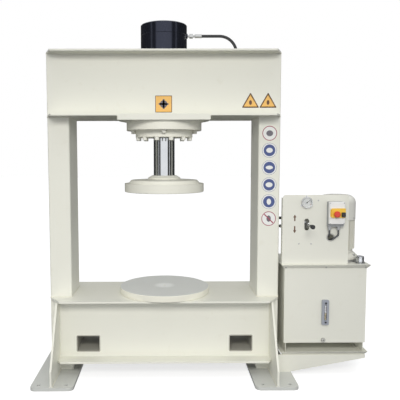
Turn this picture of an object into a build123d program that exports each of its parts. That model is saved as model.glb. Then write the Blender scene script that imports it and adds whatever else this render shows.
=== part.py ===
from build123d import *
import math
import os

# Hydraulic workshop press: a welded frame of two box columns between paired
# channels, a double-acting cylinder hung under the head, and a power unit
# carried on a bracket beside the right foot.
# Millimetres. +X is to the right of the operator, +Y away from the operator,
# +Z up. The origin is on the floor, midway between the four anchor corners.

# Frame
FRAME_WIDTH = 1490.0
COLUMN_WIDTH = 140.0
COLUMN_DEPTH = 310.0
COLUMN_WALL = 12.0
COLUMN_CORNER = 10.0
BEAM_HEIGHT = 403.0
BEAM_END_INSET = 7.0
WEB_THICKNESS = 14.0
FLANGE_REACH = 120.0
FLANGE_THICKNESS = 12.0
FLANGE_ROOT_RADIUS = 6.0
FLANGE_TOE_RADIUS = 2.0
HEAD_END_CUT = 40.0
BED_END_CUT = 72.0
BED_CLEARANCE = 102.0
DAYLIGHT = 1169.0
BED_RIB_THICKNESS = 16.0
BED_RIB_PLACES = (120.0, 340.0)

# Fork sleeves through the bed
SLEEVE_FROM_COLUMN = 105.0
SLEEVE_RISE = 96.0
SLEEVE_WIDTH = 156.0
SLEEVE_HEIGHT = 112.0
SLEEVE_WALL = 6.0
SLEEVE_CORNER = 10.0

# Feet
FOOT_WIDTH = 266.0
FOOT_DEPTH = 900.0
FOOT_THICKNESS = 20.0
FOOT_CORNER = 35.0
FOOT_OUTSET = 78.0
ANCHOR_HOLE_RADIUS = 11.0
ANCHOR_INSET_SIDE = 49.0
ANCHOR_INSET_END = 45.0
GUSSET_THICKNESS = 12.0
GUSSET_INSET = 52.0
GUSSET_SHOULDER = 224.0
GUSSET_SETBACK = 5.0
GUSSET_KNEE_HEIGHT = 98.0

# Plates under the head and on the bed
MOUNTING_PLATE_WIDTH = 578.0
MOUNTING_PLATE_THICKNESS = 26.0
MOUNTING_PLATE_CORNER = 4.0
MOUNTING_PLATE_SQUARE_END = 76.0
MOUNTING_PLATE_REAR_WIDTH = 400.0
LOWER_PLATE_RADIUS = 301.0
LOWER_PLATE_THICKNESS = 40.0
LOWER_PLATE_EDGE = 3.0
CENTRE_HOLE_RADIUS = 10.0
CENTRE_HOLE_DEPTH = 16.0

# Cylinder
BARREL_RADIUS = 151.5
BORE_RADIUS = 120.0
BARREL_HOLE_GAP = 0.8
FLANGE_RADIUS = 249.0
CYLINDER_FLANGE_THICKNESS = 58.0
CYLINDER_LENGTH = 600.0
END_CAP_THICKNESS = 86.0
END_CAP_GROOVE = 17.0
END_CAP_GROOVE_DEPTH = 1.5
END_CAP_SPIGOT = 20.0
END_CAP_EDGE = 5.0
GLAND_RADIUS = 189.0
GLAND_THICKNESS = 45.0
GLAND_SPIGOT = 40.0
GLAND_EDGE = 3.0
GLAND_LEAD = 8.0
RUNNING_GAP = 0.05
CAP_SCREW_RADIUS = 10.0
CAP_SCREW_HEAD_RADIUS = 15.0
CAP_SCREW_HEAD_HEIGHT = 20.0
CAP_SCREW_SOCKET = 17.0
CAP_SCREW_EDGE = 1.5
FLANGE_SCREW_CIRCLE = 204.0
FLANGE_SCREW_COUNT = 4
FLANGE_SCREW_GRIP = 78.0
GLAND_SCREW_CIRCLE = 175.0
GLAND_SCREW_COUNT = 12
GLAND_SCREW_GRIP = 85.0
PORT_BOSS_RADIUS = 16.0
PORT_BOSS_LENGTH = 5.0
PORT_RADIUS = 7.0
CAP_PORT_HEIGHT = 19.0
OIL_WAY_RADIUS = 5.0
OIL_WAY_X = 136.0
OIL_WAY_RISE = 6.0
ROD_PORT_HEIGHT = 140.0

# Ram
ROD_RADIUS = 70.0
ROD_END_EDGE = 3.0
PISTON_HEIGHT = 80.0
PISTON_NECK_RADIUS = 45.0
SEAL_GROOVE_DEPTH = 6.0
SEAL_GROOVE_WIDTH = 12.0
SEAL_GROOVE_SHARES = (0.3, 0.7)
RAM_DROP_AT_REST = 200.0
CAP_END_GAP = 5.0
PLATE_RADIUS = 265.0
PLATE_RIM = 56.0
PLATE_STEP_RADIUS = 240.0
PLATE_BEVEL_RADIUS = 222.0
PLATE_BEVEL_HEIGHT = 22.0
PLATE_CROWN = 7.0
PLATE_HUB_RADIUS = 108.0
PLATE_HUB_HEIGHT = 24.0
PLATE_HUB_TOP_RADIUS = 80.0
PLATE_HUB_BEVEL = 16.0
PLATE_EDGE = 3.0
PLATE_TO_FLANGE = 295.0
ROD_SOCKET_DEPTH = 65.0

# Hoses and their fittings
HOSE_RADIUS = 9.5
FITTING_STEM_RADIUS = 8.0
FITTING_STEM = 12.0
FITTING_NUT_FLATS = 27.0
FITTING_NUT = 22.0
FITTING_NECK = 14.0
FITTING_FERRULE = 45.0
FERRULE_RADIUS = 12.0
FERRULE_EDGE = 1.5
HOSE_HOLE_RADIUS = 16.0
HOSE_DROP_FROM_COLUMN = 127.0
HOSE_DROP = 215.0
HOSE_ENTRY_FALL = 12.0
HOSE_SIDESTEP = 15.0
HOSE_UPPER_LANE = 45.0
HOSE_LOWER_LANE = 50.0
EXTEND_BENDS = (112.0, 90.0, 85.0, 75.0)
RETRACT_BENDS = (85.0, 75.0)

# Tray and its bracket
BRACKET_THICKNESS = 10.0
BRACKET_OUTER_Y = 212.0
BRACKET_END_X = 1305.0
BRACKET_TOP = 134.0
BRACKET_END_HEIGHT = 23.0
BRACKET_TOE_INSET = 6.0
CROSS_BAR_WIDTH = 50.0
CROSS_BAR_THICKNESS = 12.0
CROSS_BAR_INSET = 60.0
TRAY_LENGTH = 534.0
TRAY_WIDTH = 410.0
TRAY_LIP = 18.0
TRAY_DEPTH = 22.0
TRAY_SHEET = 3.0
TRAY_COLUMN_GAP = 3.0

# Tank and lid
TANK_LENGTH = 532.0
TANK_WIDTH = 376.0
TANK_SHEET = 3.0
TANK_LEFT_GAP = 33.0
TANK_FLOOR_HEIGHT = 68.0
TANK_HEIGHT = 582.0
TANK_FOOT_INSET = 12.0
TANK_FOOT_RETURN = 22.0
LID_LIP_HEIGHT = 22.0
LID_FLARE = 18.0
LID_FIT_GAP = 0.3
LEVEL_RISE = 205.0
LEVEL_WIDTH = 44.0
LEVEL_HEIGHT = 163.0
LEVEL_DEPTH = 18.0
LEVEL_WINDOW_WIDTH = 16.0
LEVEL_WINDOW_HEIGHT = 104.0
LEVEL_WINDOW_RADIUS = 7.5
LEVEL_WINDOW_DEPTH = 12.0
LEVEL_CORNER = 6.0
LEVEL_SCREW_SPACING = 127.0
LEVEL_SCREW_RADIUS = 8.0
LEVEL_SCREW_HEAD = 4.0
DRAIN_OFFSET = 9.0
DRAIN_RISE = 19.0
DRAIN_RADIUS = 14.0
DRAIN_HEAD = 12.0
DRAIN_SHANK_RADIUS = 9.0
DRAIN_SHANK = 14.0
DRAIN_EDGE = 2.0
DRAIN_SOCKET = 12.0
DRAIN_SOCKET_DEPTH = 8.0
BREATHER_FROM_END = 30.0
BREATHER_FROM_FRONT = 46.0
BREATHER_RADIUS = 26.0
BREATHER_HEIGHT = 47.0
BREATHER_SKIRT_INSET = 3.0
BREATHER_SKIRT_HEIGHT = 8.0
BREATHER_SHOULDER_HEIGHT = 12.0
BREATHER_BAND_INSET = 2.0
BREATHER_BAND_HEIGHT = 3.0
BREATHER_CROWN_HEIGHT = 7.0
BREATHER_CROWN_EDGE = 2.0
BREATHER_CROWN_ROUND = 6.0
BREATHER_SPIGOT_RADIUS = 16.0
BREATHER_SPIGOT = 30.0

# Instrument panel
PANEL_OVERHANG = 17.0
PANEL_WIDTH = 426.0
PANEL_HEIGHT = 452.0
PANEL_SETBACK = 5.0
PANEL_SHEET = 3.0
PANEL_RETURN = 40.0
PANEL_CORNER = 20.0
SLOT_DROP = 2.0
SLOT_WIDTH = 31.0
SLOT_LENGTH = 77.0
CABLE_HOLE_FROM_EDGE = 310.0
CABLE_HOLE_RISE = 177.0
CABLE_HOLE_RADIUS = 24.0

# Pressure gauge
GAUGE_FROM_EDGE = 152.0
GAUGE_FROM_TOP = 48.0
GAUGE_RADIUS = 36.0
GAUGE_DEPTH = 22.0
GAUGE_WALL = 3.0
GAUGE_BODY_RADIUS = 30.0
GAUGE_BODY_LENGTH = 30.0
GAUGE_EDGE = 2.0
GAUGE_HOLE_GAP = 0.5
GAUGE_LUG_CIRCLE = 40.0
GAUGE_LUG_ANGLES = (90.0, 210.0, 330.0)
GAUGE_LUG_RADIUS = 6.0
GAUGE_LUG_THICKNESS = 3.0
GAUGE_DIAL_THICKNESS = 1.0
GAUGE_DIAL_HOLE_GAP = 0.3
GAUGE_GLASS_THICKNESS = 2.0
GAUGE_GLASS_RECESS = 1.0
NEEDLE_LENGTH = 24.0
NEEDLE_TAIL = 8.0
NEEDLE_WIDTH = 3.0
NEEDLE_THICKNESS = 0.8
NEEDLE_TIP_WIDTH = 0.8
NEEDLE_STANDOFF = 3.5
NEEDLE_BOSS_RADIUS = 3.5
NEEDLE_BOSS_FRONT = 0.5
NEEDLE_BOSS_BACK = 1.5
NEEDLE_SPINDLE_RADIUS = 1.5
NEEDLE_SPINDLE_END = 5.0
NEEDLE_ANGLE = 38.0

# Motor switch
SWITCH_FROM_EDGE = 284.0
SWITCH_WIDTH = 100.0
SWITCH_RISE = 250.0
SWITCH_HEIGHT = 160.0
SWITCH_BASE_DEPTH = 32.0
SWITCH_WALL = 3.0
SWITCH_CORNER = 6.0
SWITCH_CHIN = 18.0
COVER_DEPTH = 22.0
COVER_EDGE = 4.0
COVER_GROOVE_RISE = 5.0
COVER_GROOVE_WIDTH = 1.5
COVER_GROOVE_DEPTH = 1.0
FLAP_INSET = 12.0
FLAP_WIDTH = 88.0
FLAP_HEIGHT = 59.0
FLAP_DEPTH = 11.7
FLAP_WALL = 2.5
FLAP_CORNER = 3.0
FLAP_EDGE = 1.5
FLAP_RISE = 43.0
FLAP_GAP = 0.3
KNUCKLE_RADIUS = 3.5
KNUCKLE_CLEARANCE = 1.0
HINGE_PIN_RADIUS = 1.5
HINGE_EAR_LENGTH = 6.0
HINGE_WEB_THICKNESS = 3.0
BUTTON_RADIUS = 20.0
BUTTON_CAP = 12.0
BUTTON_DOME = 6.0
BUTTON_EDGE = 1.5
BUTTON_STEM_RADIUS = 8.0
BUTTON_STANDOFF = 7.0
BUTTON_TRAVEL = 5.0
BUTTON_OFFSET_X = 31.0
BUTTON_OFFSET_Z = 23.0
LATCH_WIDTH = 24.0
LATCH_HEIGHT = 29.0
LATCH_DEPTH = 13.0
LATCH_EDGE = 2.0
LATCH_CORNER = 3.0
LATCH_INSET = 3.0
LATCH_DROP = 3.0

# Cables and glands
CABLE_RADIUS = 5.5
GLAND_NUT_FLATS = 22.0
GLAND_NUT_LENGTH = 10.0
GLAND_DOME_RADIUS = 10.0
GLAND_DOME_LENGTH = 14.0
GLAND_DOME_EDGE = 3.0
SWITCH_GLAND_PLACES = (14.0, 71.0)
GLAND_SETBACK = 17.0
CABLE_BASE_GAP = 0.5
CABLE_ENTRY = 65.0
CABLE_LEVEL_RUN = 48.0
SUPPLY_DROP = 57.0
SUPPLY_STEP = 9.0
MOTOR_CABLE_BENDS = (30.0, 26.0, 24.0)
SUPPLY_CABLE_BENDS = (20.0, 18.0, 26.0, 24.0)

# Motor
MOTOR_FROM_TANK_END = 145.0
MOTOR_BODY_RADIUS = 112.0
MOTOR_FIN_RADIUS = 120.0
MOTOR_FIN_COUNT = 30
MOTOR_FIN_THICKNESS = 4.0
MOTOR_FLANGE_RADIUS = 140.0
MOTOR_FLANGE_THICKNESS = 14.0
MOTOR_FLANGE_CONE = 20.0
MOTOR_NECK = 29.0
MOTOR_NECK_INSET = 4.0
MOTOR_NECK_BEVEL = 6.0
MOTOR_FIN_ROOT = 2.0
MOTOR_BODY_LENGTH = 205.0
MOTOR_END_WALL = 14.0
ROTOR_RADIUS = 60.0
ROTOR_AIR_GAP = 1.0
ROTOR_END_GAP = 15.0
SHAFT_RADIUS = 14.0
SHAFT_BELOW_FACE = 51.0
COWL_SHEET = 2.0
COWL_HEIGHT = 163.0
COWL_OVERLAP = 9.0
COWL_SHOULDER = 52.0
COWL_SLOT_COUNT = 16
COWL_SLOT_WIDTH = 8.0
COWL_SLOT_INNER = 28.0
COWL_SLOT_OUTER = 68.0
FAN_RADIUS = 100.0
FAN_HUB_RADIUS = 24.0
FAN_DISC = 3.0
FAN_BLADE_HEIGHT = 42.0
FAN_BLADE_COUNT = 8
FAN_BLADE_THICKNESS = 4.0
FAN_RISE = 30.0
TERMINAL_BOX_REACH = 180.0
TERMINAL_BOX_WIDTH = 104.0
TERMINAL_BOX_HEIGHT = 90.0
TERMINAL_BOX_RISE = 51.0
TERMINAL_BOX_CORNER = 5.0
TERMINAL_PAD_REACH = 128.0
TERMINAL_PAD_INSET = 10.0
TERMINAL_LID_DEPTH = 10.0
TERMINAL_LID_INSET = 2.0
TERMINAL_GLAND_RISES = (50.0, 20.0)
TERMINAL_GLAND_INSET = 33.0

# Bell housing, coupling and pump
BELL_FLANGE_THICKNESS = 19.0
BELL_TUBE_RADIUS = 100.0
BELL_BORE_RADIUS = 86.0
BELL_LENGTH = 112.0
BELL_FLOOR = 12.0
BELL_HOLE_GAP = 1.0
BELL_WINDOW_WIDTH = 90.0
BELL_WINDOW_HEIGHT = 60.0
BELL_WINDOW_RISE = 5.0
BELL_SHAFT_GAP = 4.0
COUPLING_RADIUS = 32.0
COUPLING_LENGTH = 75.0
COUPLING_RELIEF = 3.0
COUPLING_GROOVE = 4.0
PUMP_SHAFT_RADIUS = 9.0
PUMP_SHAFT_LENGTH = 60.0
PUMP_WIDTH = 92.0
PUMP_DEPTH = 110.0
PUMP_HEIGHT = 118.0
PUMP_CORNER = 14.0
SUCTION_RADIUS = 12.0
SUCTION_LENGTH = 60.0
STRAINER_RADIUS = 35.0
STRAINER_LENGTH = 150.0

# Valve, lever and pipes
VALVE_FROM_EDGE = 156.0
BLOCK_WIDTH = 80.0
BLOCK_SETBACK = 123.0
BLOCK_DEPTH = 95.0
BLOCK_RISE = 198.0
BLOCK_HEIGHT = 130.0
BLOCK_EDGE = 2.0
SHELF_THICKNESS = 8.0
SHELF_WIDTH = 100.0
SHELF_DROP = 78.0
SPOOL_REACH = 35.0
SPOOL_RADIUS = 8.0
SPOOL_HOUSING_WIDTH = 64.0
SPOOL_HOUSING_HEIGHT = 48.0
SPOOL_HOUSING_FRONT = 17.0
SPOOL_HOUSING_ROOT = 5.0
SPOOL_POCKET_DEPTH = 43.0
SPOOL_TRAVEL_GAP = 13.0
SPOOL_NECK_RADIUS = 4.5
SPOOL_NECK_LENGTH = 12.0
SPOOL_HEAD = 6.0
LEVER_ARM = 30.0
LEVER_RISE = 65.0
LEVER_HUB_RADIUS = 10.0
LEVER_HUB_WIDTH = 20.0
LEVER_PIN_RADIUS = 4.0
LEVER_ROD_RADIUS = 6.0
LEVER_REACH = 170.0
LEVER_FORK_WIDTH = 18.0
LEVER_FORK_THICKNESS = 5.0
LEVER_FORK_GAP = 0.8
EAR_THICKNESS = 9.5
EAR_ROOT = 2.0
EAR_DROP = 25.0
EAR_GAP = 0.5
GRIP_LENGTH = 65.0
GRIP_RADIUS = 14.0
GRIP_NECK_RADIUS = 9.0
GRIP_END_EDGE = 4.0
GRIP_END_BEVEL = 6.0
GRIP_BAND = 22.0
GRIP_NECK_EDGE = 1.5
GRIP_NECK_BEVEL = 4.0
RELIEF_RADIUS = 14.0
RELIEF_LENGTH = 46.0
RELIEF_KNOB_RADIUS = 17.0
RELIEF_KNOB_LENGTH = 20.0
EXTEND_PORT_Y = -45.0
EXTEND_PORT_RISE = 90.0
RETRACT_PORT_RISE = 30.0
PIPE_RADIUS = 9.0
PIPE_HOLE_GAP = 1.0
PIPE_BEND = 50.0
PRESSURE_PIPE_OFFSET = 18.0
RETURN_PIPE_OFFSET = 20.0
RETURN_PIPE_CLEARANCE = 95.0
GAUGE_PIPE_BEND = 25.0
GAUGE_PIPE_RADIUS = 4.0

# Places worked out from the sizes above
HALF = FRAME_WIDTH / 2
COLUMN_INNER = HALF - COLUMN_WIDTH
WEB_INNER_Y = COLUMN_DEPTH / 2
WEB_OUTER_Y = WEB_INNER_Y + WEB_THICKNESS
BEAM_END = HALF - BEAM_END_INSET
FRAME_FRONT_Y = WEB_INNER_Y + FLANGE_REACH
BED_TOP = BED_CLEARANCE + BEAM_HEIGHT
SLEEVE_PLACE = COLUMN_INNER - SLEEVE_FROM_COLUMN
SLEEVE_Z = BED_CLEARANCE + SLEEVE_RISE
HEAD_BOTTOM = BED_TOP + DAYLIGHT
HEAD_TOP = HEAD_BOTTOM + BEAM_HEIGHT
FOOT_OUTER = HALF + FOOT_OUTSET
FOOT_INNER = FOOT_OUTER - FOOT_WIDTH
GUSSET_X = HALF - GUSSET_INSET
MOUNT_FACE = HEAD_BOTTOM - MOUNTING_PLATE_THICKNESS
GLAND_FACE = MOUNT_FACE - CYLINDER_FLANGE_THICKNESS
GLAND_BOTTOM = GLAND_FACE - GLAND_THICKNESS
BARREL_TOP = GLAND_FACE + CYLINDER_LENGTH
CYLINDER_TOP = BARREL_TOP + END_CAP_THICKNESS
CHAMBER_TOP = BARREL_TOP - END_CAP_SPIGOT
PISTON_TOP = CHAMBER_TOP - CAP_END_GAP - RAM_DROP_AT_REST
PISTON_BOTTOM = PISTON_TOP - PISTON_HEIGHT
HUB_TOP = GLAND_FACE - PLATE_TO_FLANGE
PLATE_STEP_Z = HUB_TOP - PLATE_HUB_HEIGHT - PLATE_CROWN - PLATE_BEVEL_HEIGHT
PLATE_BOTTOM = PLATE_STEP_Z - PLATE_RIM
CAP_PORT_Z = BARREL_TOP + CAP_PORT_HEIGHT
ROD_PORT_Z = GLAND_FACE + ROD_PORT_HEIGHT
PORT_FACE_X = BARREL_RADIUS + PORT_BOSS_LENGTH
FITTING_LENGTH = FITTING_STEM + FITTING_NUT + FITTING_NECK + FITTING_FERRULE
HOSE_DROP_X = COLUMN_INNER - HOSE_DROP_FROM_COLUMN
TRAY_LEFT = HALF + TRAY_COLUMN_GAP + TRAY_LIP
TRAY_RIGHT = TRAY_LEFT + TRAY_LENGTH
TANK_LEFT = HALF + TANK_LEFT_GAP
TANK_RIGHT = TANK_LEFT + TANK_LENGTH
TANK_MIDDLE = TANK_LEFT + TANK_LENGTH / 2
TANK_FRONT = -TANK_WIDTH / 2
TANK_BASE = BRACKET_TOP + TRAY_SHEET
TANK_BOTTOM = TANK_BASE + TANK_FLOOR_HEIGHT
TANK_TOP = TANK_BASE + TANK_HEIGHT
LID_TOP = TANK_TOP + TANK_SHEET
LEVEL_Z = TANK_BOTTOM + LEVEL_RISE
DRAIN_X = TANK_MIDDLE - DRAIN_OFFSET
DRAIN_Z = TANK_BOTTOM + DRAIN_RISE
BREATHER_X = TANK_RIGHT - BREATHER_FROM_END
BREATHER_Y = TANK_FRONT + BREATHER_FROM_FRONT
PANEL_X = TANK_LEFT - PANEL_OVERHANG
PANEL_Y = TANK_FRONT + PANEL_SETBACK
PANEL_BACK = PANEL_Y + PANEL_SHEET
PANEL_TOP = LID_TOP + PANEL_HEIGHT
CABLE_HOLE_X = PANEL_X + CABLE_HOLE_FROM_EDGE
CABLE_HOLE_Z = LID_TOP + CABLE_HOLE_RISE
GAUGE_X = PANEL_X + GAUGE_FROM_EDGE
GAUGE_Z = PANEL_TOP - GAUGE_FROM_TOP
SWITCH_X = PANEL_X + SWITCH_FROM_EDGE
SWITCH_Z = LID_TOP + SWITCH_RISE
VALVE_X = PANEL_X + VALVE_FROM_EDGE
MOTOR_X = TANK_RIGHT - MOTOR_FROM_TANK_END
MOTOR_FACE = LID_TOP + BELL_FLANGE_THICKNESS
MOTOR_BODY_BOTTOM = MOTOR_FACE + MOTOR_FLANGE_THICKNESS + MOTOR_FLANGE_CONE + MOTOR_NECK
MOTOR_BODY_TOP = MOTOR_BODY_BOTTOM + MOTOR_BODY_LENGTH
TERMINAL_BOX_Z = MOTOR_BODY_BOTTOM + TERMINAL_BOX_RISE
BELL_BOTTOM = LID_TOP - BELL_LENGTH
COUPLING_TOP = MOTOR_FACE - SHAFT_BELOW_FACE + COUPLING_LENGTH / 3
COUPLING_BOTTOM = COUPLING_TOP - COUPLING_LENGTH
SHAFT_BOTTOM = MOTOR_FACE - SHAFT_BELOW_FACE
PUMP_BOTTOM = BELL_BOTTOM - PUMP_HEIGHT
SWITCH_FRONT = PANEL_Y - SWITCH_BASE_DEPTH
COVER_FRONT = SWITCH_FRONT - COVER_DEPTH
FLAP_BACK = COVER_FRONT - FLAP_GAP
FLAP_FRONT = FLAP_BACK - FLAP_DEPTH
FLAP_LEFT = SWITCH_X + FLAP_INSET
FLAP_BOTTOM = SWITCH_Z + SWITCH_CHIN + FLAP_RISE
HINGE_X = FLAP_LEFT - KNUCKLE_RADIUS
HINGE_Y = COVER_FRONT - KNUCKLE_RADIUS - KNUCKLE_CLEARANCE
BLOCK_LEFT = VALVE_X - BLOCK_WIDTH / 2
BLOCK_FRONT_Y = PANEL_Y + BLOCK_SETBACK
BLOCK_BACK_Y = BLOCK_FRONT_Y + BLOCK_DEPTH
BLOCK_Z = LID_TOP + BLOCK_RISE
BLOCK_TOP = BLOCK_Z + BLOCK_HEIGHT
EXTEND_PORT_Z = BLOCK_Z + EXTEND_PORT_RISE
RETRACT_PORT_Z = BLOCK_Z + RETRACT_PORT_RISE
PRESSURE_PIPE_X = VALVE_X + PRESSURE_PIPE_OFFSET
RETURN_PIPE_X = VALVE_X - RETURN_PIPE_OFFSET
SPOOL_Y = BLOCK_FRONT_Y - SPOOL_REACH
LEVER_Z = BLOCK_Z + LEVER_RISE
HOUSING_TOP = BLOCK_Z + SPOOL_HOUSING_HEIGHT
HOUSING_FRONT_Y = SPOOL_Y - SPOOL_HOUSING_FRONT
LEVER_Y = SPOOL_Y - LEVER_ARM
GLAND_Y = PANEL_Y - GLAND_SETBACK
TERMINAL_BOX_X = MOTOR_X - TERMINAL_BOX_REACH


# Cutters run one millimetre past the faces that they cut.
def span(x0, x1, y0, y1, z0, z1):
    """A block between two corners."""
    place = Pos((x0 + x1) / 2, (y0 + y1) / 2, (z0 + z1) / 2)
    return place * Box(x1 - x0, y1 - y0, z1 - z0)


def disc(radius, z0, z1, x=0.0, y=0.0):
    """An upright round bar."""
    return Pos(x, y, (z0 + z1) / 2) * Cylinder(radius, z1 - z0)


def bar_x(radius, x0, x1, y, z):
    """A round bar along X."""
    return Pos((x0 + x1) / 2, y, z) * Rot(0, 90, 0) * Cylinder(radius, x1 - x0)


def bar_y(radius, y0, y1, x, z):
    """A round bar along Y."""
    return Pos(x, (y0 + y1) / 2, z) * Rot(90, 0, 0) * Cylinder(radius, y1 - y0)


def turned(points, x=0.0, y=0.0):
    """A piece turned about an upright axis, from radius and height pairs."""
    outline = make_face(Plane.XZ * Polyline(*points, close=True))
    return Pos(x, y, 0) * revolve(outline, axis=Axis.Z)


def rounded_block(x0, x1, y0, y1, z0, z1, radius):
    """A block whose four edges along Y are rounded."""
    sketch = Plane.XZ * Pos((x0 + x1) / 2, (z0 + z1) / 2) * RectangleRounded(x1 - x0, z1 - z0, radius)
    return Pos(0, y1, 0) * extrude(sketch, amount=y1 - y0)


def swept(points, radii, radius):
    """A round bar along straight runs joined by arcs, and its length."""
    path = FilletPolyline(*points, radius=list(radii))
    start = Plane(origin=path @ 0, z_dir=path % 0)
    return sweep(start * Circle(radius), path=path), path.length


def save(shape, node):
    """Write one piece to its own file."""
    shape.label = node
    export_step(shape, f"parts/{node}.step")


def column(side):
    """Box-section column, from its foot to the top plate of the head."""
    x0 = COLUMN_INNER if side > 0 else -HALF
    sketch = Pos(x0 + COLUMN_WIDTH / 2, 0) * (
        RectangleRounded(COLUMN_WIDTH, COLUMN_DEPTH, COLUMN_CORNER)
        - Rectangle(COLUMN_WIDTH - 2 * COLUMN_WALL, COLUMN_DEPTH - 2 * COLUMN_WALL))
    length = HEAD_TOP - FLANGE_THICKNESS - FOOT_THICKNESS
    tube = Pos(0, 0, FOOT_THICKNESS) * extrude(sketch, amount=length)
    if side > 0:
        for y, z in hose_entries():
            tube -= bar_x(HOSE_HOLE_RADIUS, COLUMN_INNER - 1, COLUMN_INNER + COLUMN_WALL + 1, y, z)
        for y, z in ((EXTEND_PORT_Y, EXTEND_PORT_Z), (0.0, RETRACT_PORT_Z)):
            tube -= bar_x(HOSE_HOLE_RADIUS, HALF - COLUMN_WALL - 1, HALF + 1, y, z)
    return tube


def hose_entries():
    """Where each hose goes through the column's inner wall: Y and Z."""
    routes = (extend_route()[2:4], retract_route()[0:2])
    entries = []
    for start, end in routes:
        share = (COLUMN_INNER + COLUMN_WALL / 2 - start[0]) / (end[0] - start[0])
        entries.append(tuple(start[i] + share * (end[i] - start[i]) for i in (1, 2)))
    return entries


def channel(bottom, side, end_cut, lower_flange_end):
    """One outward-facing channel; its flange corners are cut back to the web."""
    top = bottom + BEAM_HEIGHT
    y0, y1, y2 = WEB_INNER_Y, WEB_OUTER_Y, FRAME_FRONT_Y
    low, high = bottom + FLANGE_THICKNESS, top - FLANGE_THICKNESS
    outline = Polyline((y0, bottom), (y2, bottom), (y2, low), (y1, low),
                       (y1, high), (y2, high), (y2, top), (y0, top), close=True)
    section = make_face(Plane.YZ * outline)
    roots = section.vertices().filter_by(lambda v: abs(v.Y - y1) < 0.01)
    section = fillet(roots, FLANGE_ROOT_RADIUS)
    toes = section.vertices().filter_by(lambda v: abs(v.Y - y2) < 0.01 and low - 1 < v.Z < high + 1)
    section = fillet(toes, FLANGE_TOE_RADIUS)
    beam = extrude(section, amount=BEAM_END, both=True)
    for end in (-1, 1):
        corner = make_face(Polyline((end * (BEAM_END - end_cut), y2), (end * BEAM_END, y1),
                                    (end * (BEAM_END + end_cut), y2), close=True))
        beam -= Pos(0, 0, bottom - 1) * extrude(corner, amount=BEAM_HEIGHT + 2)
        if lower_flange_end < BEAM_END:
            ends = sorted((end * lower_flange_end, end * HALF))
            beam -= span(*ends, y1, y2 + 1, bottom - 1, low + FLANGE_ROOT_RADIUS + 1)
    return beam if side > 0 else mirror(beam, about=Plane.XZ)


def bed_channel(side):
    """Bed channel, with the fork sleeves' holes; its lower flange ends at the gussets."""
    beam = channel(BED_CLEARANCE, side, BED_END_CUT, GUSSET_X - GUSSET_THICKNESS / 2)
    for end in (-1, 1):
        x = end * SLEEVE_PLACE
        beam -= rounded_block(x - SLEEVE_WIDTH / 2, x + SLEEVE_WIDTH / 2,
                              -FRAME_FRONT_Y, FRAME_FRONT_Y,
                              SLEEVE_Z - SLEEVE_HEIGHT / 2,
                              SLEEVE_Z + SLEEVE_HEIGHT / 2, SLEEVE_CORNER)
    return beam


def fork_sleeve(side):
    """Rectangular tube that lines one fork pocket, web face to web face."""
    outer = RectangleRounded(SLEEVE_WIDTH, SLEEVE_HEIGHT, SLEEVE_CORNER)
    inner = RectangleRounded(SLEEVE_WIDTH - 2 * SLEEVE_WALL, SLEEVE_HEIGHT - 2 * SLEEVE_WALL,
                             SLEEVE_CORNER - SLEEVE_WALL)
    sketch = Plane.XZ * Pos(side * SLEEVE_PLACE, SLEEVE_Z) * (outer - inner)
    return extrude(sketch, amount=WEB_OUTER_Y, both=True)


def bed_table():
    """Filler plate between the bed channels, on cross ribs."""
    table = span(-COLUMN_INNER, COLUMN_INNER, -WEB_INNER_Y, WEB_INNER_Y,
                 BED_TOP - FLANGE_THICKNESS, BED_TOP)
    for place in BED_RIB_PLACES:
        for side in (-1, 1):
            x = side * place
            table += span(x - BED_RIB_THICKNESS / 2, x + BED_RIB_THICKNESS / 2,
                          -WEB_INNER_Y, WEB_INNER_Y, BED_CLEARANCE, BED_TOP - FLANGE_THICKNESS)
    return table


def foot(side):
    """Floor plate with two anchor holes at each end and two upright gussets."""
    centre = side * (FOOT_OUTER - FOOT_WIDTH / 2)
    plate = Pos(centre, 0) * RectangleRounded(FOOT_WIDTH, FOOT_DEPTH, FOOT_CORNER)
    for place in (FOOT_OUTER - ANCHOR_INSET_SIDE, FOOT_INNER + ANCHOR_INSET_SIDE):
        for end in (-1, 1):
            hole = Circle(ANCHOR_HOLE_RADIUS)
            plate -= Pos(side * place, end * (FOOT_DEPTH / 2 - ANCHOR_INSET_END)) * hole
    weldment = extrude(plate, amount=FOOT_THICKNESS)
    reach = FOOT_DEPTH / 2 - GUSSET_SETBACK
    knee = FOOT_THICKNESS + GUSSET_KNEE_HEIGHT
    under_flange = BED_TOP - FLANGE_THICKNESS
    outline = Polyline((WEB_INNER_Y, FOOT_THICKNESS), (reach, FOOT_THICKNESS), (reach, knee),
                       (GUSSET_SHOULDER, under_flange), (WEB_OUTER_Y + FLANGE_ROOT_RADIUS, under_flange),
                       (WEB_OUTER_Y, under_flange - FLANGE_ROOT_RADIUS),
                       (WEB_OUTER_Y, BED_CLEARANCE), (WEB_INNER_Y, BED_CLEARANCE), close=True)
    gusset = extrude(make_face(Plane.YZ * outline), amount=GUSSET_THICKNESS / 2, both=True)
    gusset = Pos(side * GUSSET_X, 0, 0) * gusset
    return weldment + gusset + mirror(gusset, about=Plane.XZ)


def head_plate(bottom, half_length, hose_hole):
    """Filler plate between the head channels, bored for the cylinder barrel."""
    plate = span(-half_length, half_length, -WEB_INNER_Y, WEB_INNER_Y,
                 bottom, bottom + FLANGE_THICKNESS)
    plate -= disc(BARREL_RADIUS + BARREL_HOLE_GAP, bottom - 1, bottom + FLANGE_THICKNESS + 1)
    if hose_hole:
        plate -= disc(HOSE_HOLE_RADIUS, bottom - 1, bottom + FLANGE_THICKNESS + 1, HOSE_DROP_X)
    return plate


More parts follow.
